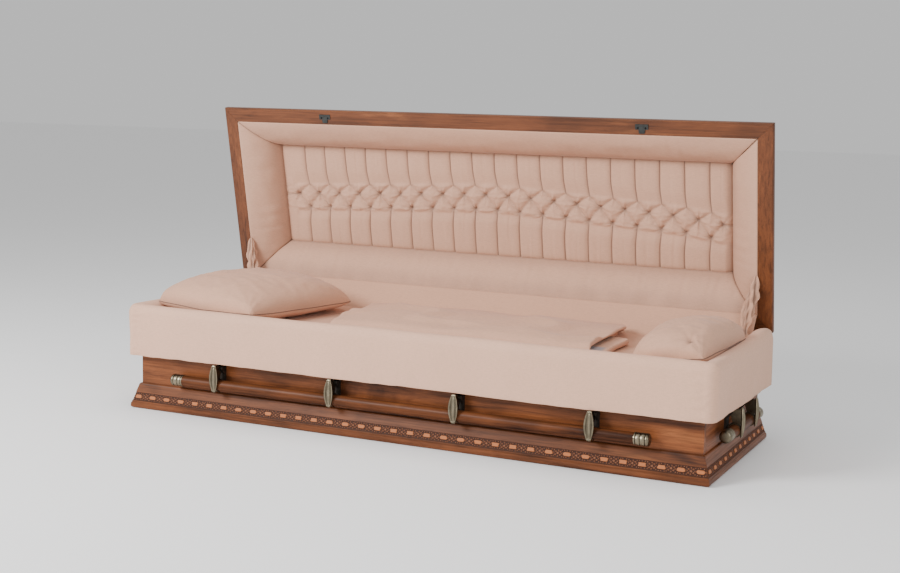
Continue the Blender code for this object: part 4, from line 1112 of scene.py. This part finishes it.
def stay_sleeve(mats, hand):
    """Gathered, twisted sleeve over a lid stay, from the bed's corner up into the lid."""
    side = "right" if hand > 0 else "left"
    steps, sides = 90, 40
    t = np.linspace(0, 1, steps)
    keys = np.array(SLEEVE)
    spaced = np.concatenate([[0], np.cumsum(np.linalg.norm(np.diff(keys[:, :3], axis=0), axis=1))])
    spaced /= spaced[-1]
    path = np.stack([smooth_curve(t, spaced, keys[:, k]) for k in range(4)], axis=-1)
    grid_t, grid_a = np.meshgrid(t, circle(sides), indexing="ij")
    twist = 2.6 * grid_t
    ruffle = 0.26 * np.sin(5 * grid_a + 5 * twist) + 0.14 * np.sin(9 * grid_a - 3 * twist + 1.1)
    ruffle += 0.24 * np.sin(3 * grid_a + 9 * grid_t + 0.7)
    scallop = 0.17 * np.sin(30 * grid_t + 2 * np.sin(2 * grid_a))
    r = path[:, 3:] * (1 + ruffle + scallop * smooth_step(0, 0.2, grid_t))
    local = points_of(r * np.cos(grid_a), 0.62 * r * np.sin(grid_a))
    outer = local + path[:, None, :3]
    inner = local * (1 - 0.0011 / np.maximum(r, 0.0022))[..., None] + path[:, None, :3]
    for grid in (outer, inner):
        grid[..., 0] *= hand
    obj = shell("stay_sleeve_cloth_" + side, outer, inner, mats["bedding_painted_shade"])
    # Painted shade in the ruffles' folds and at the gather
    painted_shade = np.clip(0.35 - 1.6 * (ruffle + 0.5 * scallop), 0, 1) * 0.75
    painted_shade = np.clip(painted_shade + 0.45 * bell(grid_t - 0.15, 0.05), 0, 1)
    set_attribute(obj, "painted_shade", np.tile(painted_shade.ravel(), 2))
    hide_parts("stay_sleeve_" + side)
    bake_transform(obj)
    return obj


def smooth_curve(t, places, values):
    """Values at t along a soft curve through the keys."""
    fine = np.linspace(0, 1, 400)
    line = np.interp(fine, places, values)
    kernel = np.hanning(41)
    kernel /= kernel.sum()
    padded = np.concatenate([np.full(20, line[0]), line, np.full(20, line[-1])])
    return np.interp(t, fine, np.convolve(padded, kernel, "valid"))


# Base moulding

def slope_axes():
    """Foot of the base moulding's slope, and its directions up and out, as (inset, height)."""
    foot = np.array(SLOPE_FOOT)
    direction = np.array(SLOPE_HEAD) - foot
    direction /= np.linalg.norm(direction)
    return foot, direction, np.array([-direction[1], direction[0]])


def band_place(across):
    """Map of the carved band: along, up the slope and out of its ground, to a point facing -Y."""
    foot, direction, normal = slope_axes()
    ground = foot + direction * (BAND_START + BAND_WIDTH / 2) - normal * BAND_DEPTH

    def place(u, v, rise):
        inset = ground[0] + direction[0] * v + normal[0] * rise
        height = ground[1] + direction[1] * v + normal[1] * rise
        return points_of(u, inset - across, height)
    return place, ground, direction


def moulding_section():
    """Section of a base moulding as (inset, height), with its nose, sunk band and cyma top."""
    foot, direction, normal = slope_axes()
    lower = foot + direction * BAND_START
    upper = foot + direction * (BAND_START + BAND_WIDTH)
    back = OVERHANG - GAP
    nose = 0.0085
    points = [(back, 0.0), (nose, 0.0)]
    for a in range(-75, 1, 15):
        angle = math.radians(a)
        points.append((nose - nose * math.cos(angle), nose * (1 + math.sin(angle))))
    points += [(0.0004, 0.0150), (0.0012, NOSE_HEIGHT - 0.0016), (0.0030, NOSE_HEIGHT),
               (0.0040, NOSE_HEIGHT + 0.0012), (0.0036, SLOPE_FOOT[1] - 0.0018), foot, lower,
               lower - normal * BAND_DEPTH, upper - normal * BAND_DEPTH, upper]
    points += [upper + direction * up for up in (0.0006, 0.010, 0.022)]
    points += [(0.0206, 0.0785), (0.0214, 0.0822), (0.0232, 0.0862), (0.0258, 0.0887), (0.0280, 0.0893),
               (back, 0.0893)]
    return np.array([tuple(point) for point in points])


def carved_relief(u, v, step, start):
    """Height above the band's ground, and how far each point is a block's top."""
    v = v - 0.0003
    phase = (u - start) / step
    nearest = np.round(phase)
    du = (phase - nearest) * step
    ragged = 0.0011 * np.sin(nearest * 5.3 + v * 520) + 0.0006 * np.sin(nearest * 11.7 + v * 1300)
    past_u = np.maximum(np.abs(du + ragged * np.sign(du)) - (BLOCK_SIZE[0] / 2 - 0.005), 0)
    past_v = np.maximum(np.abs(v) - (BLOCK_SIZE[1] / 2 - 0.004), 0)
    block = smooth_step(0.0, 0.30, 1 - np.hypot(past_u / 0.005, past_v / 0.004))
    cell = np.floor(phase)
    between = (phase - cell - 0.5) * step
    height = np.zeros_like(u)
    for k, (cu, cv, radius, tall, petals) in enumerate(FLOWERS):
        wobble = 0.0007 * np.sin(cell * 3.1 + 1.7 * k)
        pu, pv = between - cu - wobble, v - cv + wobble * 0.7
        gap = np.hypot(pu, pv)
        bend = 1 + (0.16 * np.cos(petals * np.arctan2(pv, pu) + cell + k) if petals else 0)
        dome = np.clip(1 - (gap / (radius * bend)) ** 2, 0, 1) ** 0.6
        dome = dome * (1 - 0.55 * bell(gap, radius * 0.28) * (petals > 0))
        height = np.maximum(height, tall * dome)
    curl_gap = np.abs(np.abs(v) - 0.0034 - 0.0022 * np.sin(between * 420))
    curls = 0.42 * np.clip(1 - curl_gap / 0.0013, 0, 1)
    height = np.maximum(height, curls * (np.abs(between) < 0.0155))
    rows = np.clip(1 - np.abs(np.abs(v) - 0.0136) / 0.0011, 0, 1)
    dots = np.clip(np.sin(u * 1450 + 2 * np.sin(u * 60)), 0, 1) * rows
    return np.maximum(height, 0.75 * dots), block


def base_moulding(mats, side):
    """One mitred stick of the base with its carved band."""
    turn = SIDES[side]
    along, across = side_reach(side)
    wood, carving = ("wood_base", "carved_x") if side in LONG_SIDES else ("wood_base_y", "carved_y")
    section = moulding_section()
    rings = [[(end * (along - inset - GAP), inset - across, height) for inset, height in section]
             for end in (-1, 1)]
    stick = loft("base_moulding_wood_" + side, turned(np.array(rings), turn), mats[wood], 30)

    place, ground, direction = band_place(across)
    usable = 2 * (along - CARVING_MARGIN)
    pitches = max(1, round(usable / CARVING_PITCH))
    cols = int(2 * along / 0.00125)
    t, v = np.meshgrid(np.linspace(-1, 1, cols), np.linspace(-0.0152, 0.0152, 31))
    u = t * (along - (ground[0] + direction[0] * v) - 0.0012)
    height, block = carved_relief(u, v, usable / pitches, -usable / 2)
    rise = 0.0002 + 0.0019 * height * (1 - block) + 0.0026 * block
    front = turned(place(u, v, rise), turn)
    back = turned(place(u, v, np.full_like(u, -0.0006)), turn)
    band = backed_grid("carved_band_" + side, front, back, mats[carving])
    front_attribute(band, "relief", height)
    front_attribute(band, "block", block * 1.2 - 0.2)
    dress(band, "casket", "wood")
    return dress(stick, "casket", "wood", "base_moulding_" + side)


# Handles and fittings

def lathe(name, profile, centre, turn, mat, sides=40, angle=35):
    """Solid of revolution about X from (x, radius), moved to its centre and turned about Z."""
    rings = [[(centre[0] + x, centre[1] + radius * math.cos(a), centre[2] + radius * math.sin(a))
              for a in circle(sides)] for x, radius in profile]
    return loft(name, turned(np.array(rings), turn), mat, angle)


def pivot_spot(side, place=0.0):
    """Pivot line of a side's arms, as a point at a place along the side, facing -Y."""
    return (place, -side_reach(side)[1] + OVERHANG - PIVOT_OUT, PIVOT_Z)


def bar_centre(spot):
    """Middle of the bar below a pivot."""
    return (spot[0], spot[1] + BAR_SPOT[0], spot[2] + BAR_SPOT[1])


def handle_bar(mats, side):
    """Turned wooden bar with a banded metal tip on each end."""
    turn = SIDES[side]
    low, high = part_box("handle_bar_" + side)
    half = (high.x - low.x) / 2 if side in LONG_SIDES else (high.y - low.y) / 2
    centre = bar_centre(pivot_spot(side))
    wood = mats["wood_bar"] if side in LONG_SIDES else mats["wood_bar_y"]
    inner = half - TIP_LENGTH
    neck = BAR_RADIUS - 0.002
    profile = [(-inner - 0.004, neck), (-inner, neck), (-inner, BAR_RADIUS),
               (inner, BAR_RADIUS), (inner, neck), (inner + 0.004, neck)]
    bar = lathe("handle_bar_wood_" + side, profile, centre, turn, wood)
    dress(bar, "handle_" + side, "wood", "handle_bar_" + side)
    for end, hand in ((-1, "left"), (1, "right")):
        profile = [(end * (inner + x), radius) for x, radius in TIP]
        cap = lathe(f"handle_tip_{side}_{hand}", profile, centre, turn, mats["antique"])
        recess = [1.0 if radius < 0.01925 and x < 0.04 else 0.35 if x > 0.04 else 0.0 for x, radius in TIP]
        set_attribute(cap, "recess", np.repeat(recess, 40))
        dress(cap, "handle_" + side, "antique_brass")


def arm_parts(mats, name, spot, turn):
    """Blade, web and bar ring of one handle arm whose pivot is at spot, facing -Y."""
    x0, y0, z0 = spot
    s, t = np.meshgrid(np.linspace(0, 1, 49), np.linspace(-1, 1, 29), indexing="ij")
    width = 0.0060 + 0.0108 * np.sin(math.pi * np.clip(s * 1.02 - 0.01, 0, 1)) ** 0.85
    ends = smooth_step(0.0, 0.045, s) * smooth_step(0.0, 0.045, 1 - s)
    rim = bell(np.abs(t) - 0.86, 0.085) + bell(s - 0.045, 0.022) + bell(s - 0.955, 0.022)
    ridge = bell(t, 0.17) * smooth_step(0.02, 0.2, s) * smooth_step(0.02, 0.2, 1 - s)
    bow = 0.0042 * np.sin(math.pi * s)
    relief = 0.0022 * np.clip(rim, 0, 1) + 0.0036 * ridge
    out = 0.0352 + bow + ends * relief * (1 - 0.9 * (np.abs(t) > 0.99))
    z = z0 + 0.0150 - 0.0950 * s
    front = points_of(x0 + width * t, y0 - out, z)
    back = points_of(x0 + width * t * 0.94, y0 - (0.0318 + bow * 0.85), z)
    blade = backed_grid(name, turned(front, turn), turned(back, turn), mats["antique"])
    groove = np.clip(1.05 * bell(np.abs(t) - 0.50, 0.20), 0, 1) * (0.55 + 0.45 * np.sin(math.pi * s))
    front_attribute(blade, "recess", 0.85 * groove, 0.5)
    outline = [(0.0062, -0.0015), (0.0055, 0.0045), (0.0010, 0.0072), (-0.0060, 0.0086), (-0.0180, 0.0098),
               (-0.0330, 0.0092), (-0.0335, -0.0360), (-0.0280, -0.0400), (-0.0080, -0.0400),
               (-0.0035, -0.0280), (0.0030, -0.0075)]
    rings = [[(x0 + x, y0 + y, z0 + z) for y, z in outline] for x in (-0.0060, 0.0060)]
    web = loft(name + "_web", turned(np.array(rings), turn), mats["antique"], 35)
    profile = [(-0.0085, 0.0194), (-0.0085, 0.0228), (-0.0065, 0.0240),
               (0.0065, 0.0240), (0.0085, 0.0228), (0.0085, 0.0194)]
    ring = lathe(name + "_ring", profile, bar_centre(spot), turn, mats["antique"], 32)
    pin = lathe(name + "_pin", [(-0.0068, 0.0062), (0.0068, 0.0062)], spot, turn, mats["antique"], 20)
    for part in (web, ring, pin):
        set_attribute(part, "recess", np.full(len(part.data.vertices), 0.45))
    return join_objects(name, [blade, web, ring, pin])


def handle_arms(mats, side):
    for k, place in enumerate(ARM_PLACES[side]):
        arm = arm_parts(mats, f"arm_{side}_{k + 1}", pivot_spot(side, place), SIDES[side])
        dress(arm, "handle_" + side, "antique_brass", f"handle_arm_{side}_{k + 1}")


def strike_screws(mats):
    """Two screw heads on each latch strike."""
    normal = Vector(lid_points(0, 0, np.array(-1.0))) - Vector(lid_points(0, 0, np.array(0.0)))
    spin = normal.to_track_quat("Z", "Y").to_matrix()
    head = ((-0.0020, 0.0036), (0.0008, 0.0036), (0.0014, 0.0024))
    for hand in ("left", "right"):
        low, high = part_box("latch_strike_" + hand)
        for end, letter in ((-1, "a"), (1, "b")):
            centre = (low + high) / 2 + Vector((end * 0.0135, -0.0012, 0.0032))
            rings = [[tuple(centre + spin @ Vector((radius * math.cos(a), radius * math.sin(a), depth)))
                      for a in circle(18)] for depth, radius in head]
            screw = loft(f"strike_screw_{hand}_{letter}", np.array(rings), mats["steel"], 30)
            set_attribute(screw, "recess", np.full(len(screw.data.vertices), 1.0))
            dress(screw, "lid", "steel")


# Studio and finishes

def build_light(name, spot, target, size, power):
    """Area light at a spot, turned to its target."""
    data = bpy.data.lights.new(name, "AREA")
    data.shape = "RECTANGLE"
    data.size, data.size_y = size
    data.energy = power
    obj = bpy.data.objects.new(name, data)
    obj.location = spot
    obj.rotation_euler = (Vector(target) - Vector(spot)).to_track_quat("-Z", "Y").to_euler()
    bpy.context.collection.objects.link(obj)


def studio():
    """Pale floor, even surroundings, lights from the front left, the right and above, and the camera."""
    mat, _, shader = new_tree("studio_floor")
    set_inputs(shader, Base_Color=(0.93, 0.93, 0.93, 1), Roughness=0.9)
    corners = [(-30, -30, 0), (30, -30, 0), (30, 30, 0), (-30, 30, 0)]
    floor = build_mesh("studio_floor", corners, [(0, 1, 2, 3)], mat)
    floor.location.z = -0.0005
    world = bpy.data.worlds.new("studio_world")
    world.use_nodes = True
    set_inputs(world.node_tree.nodes["Background"], Color=(1, 1, 1, 1), Strength=0.66)
    bpy.context.scene.world = world
    build_light("key", (-2.7, -4.1, 3.0), (0.1, 0, 0.3), (2.0, 1.7), 330)
    build_light("fill", (3.8, -3.4, 2.2), (0.2, 0, 0.3), (2.4, 2.4), 85)
    build_light("overhead", (0, 0.2, 3.9), (0, 0, 0), (4.0, 2.6), 42)
    camera = bpy.data.cameras.new("camera")
    camera.lens = CAMERA_LENS
    camera.sensor_width = 36
    obj = bpy.data.objects.new("camera", camera)
    yaw, pitch, roll = [math.radians(a) for a in (CAMERA_YAW, CAMERA_PITCH, CAMERA_ROLL)]
    turn = Matrix.Rotation(yaw, 4, "Z") @ Matrix.Rotation(math.pi / 2 - pitch, 4, "X")
    turn = turn @ Matrix.Rotation(roll, 4, "Z")
    obj.matrix_world = Matrix.Translation(CAMERA_SPOT) @ turn
    bpy.context.collection.objects.link(obj)
    bpy.context.scene.camera = obj


def paint_lugs(obj, metal):
    """The lugs on a body panel stand proud of its face and are metal, coloured near-black as painted shade
    round the arms.
    """
    obj.data.materials.append(metal)
    face_x, face_y = HALF_LENGTH - OVERHANG + 0.002, HALF_WIDTH - OVERHANG + 0.002
    for polygon in obj.data.polygons:
        corners = [obj.data.vertices[i].co for i in polygon.vertices]
        if any(abs(corner.x) > face_x or abs(corner.y) > face_y for corner in corners):
            polygon.material_index = 1


def paint_nodes(mats):
    """Give the CAD nodes that stay their finishes."""
    for name, obj in frame["nodes"].items():
        at_end = name.endswith(("left", "right"))
        if name.startswith(("lid_rail", "lid_crown", "lid_top")):
            finish = "wood_lid_end" if at_end else "wood_lid"
        elif name.startswith(("body_rail", "body_panel", "base_moulding", "bottom")):
            finish = "wood_y" if at_end else "wood_x"
        elif name.startswith("handle_arm"):
            finish = "antique"
        elif name.startswith("handle_bar"):
            finish = "wood_bar_y" if at_end else "wood_bar"
        elif name.startswith(("hinge", "latch")):
            finish = "steel"
        else:
            finish = "fabric"
        obj.data.materials.clear()
        obj.data.materials.append(mats[finish])
        if name.startswith("body_panel"):
            paint_lugs(obj, mats["lug_shade_metal"])


def build():
    mats = make_materials()
    paint_nodes(mats)
    studio()
    tufted_lining(mats)
    for side in SIDES:
        border_roll(mats, side)
        base_moulding(mats, side)
        handle_bar(mats, side)
        handle_arms(mats, side)
    strike_screws(mats)
    bed_sheet(mats)
    overlay_pieces(mats)
    apron(mats)
    for hand in (-1, 1):
        stay_sleeve(mats, hand)
    pillow(mats, "head_pillow", "pillow_head", centre=(-0.758, -0.030, 0.3735), size=(0.516, 0.568),
           rise=0.107, sink=0.044, turn=-13, tilt=0.5, seed=3.3)
    pillow(mats, "foot_pillow", "pillow_foot", centre=(0.918, -0.080, 0.3640), size=(0.250, 0.490),
           rise=0.096, sink=0.040, turn=-4, tilt=-6, seed=8.1, tuft=(0.068, -0.194))
    throw(mats)


build()
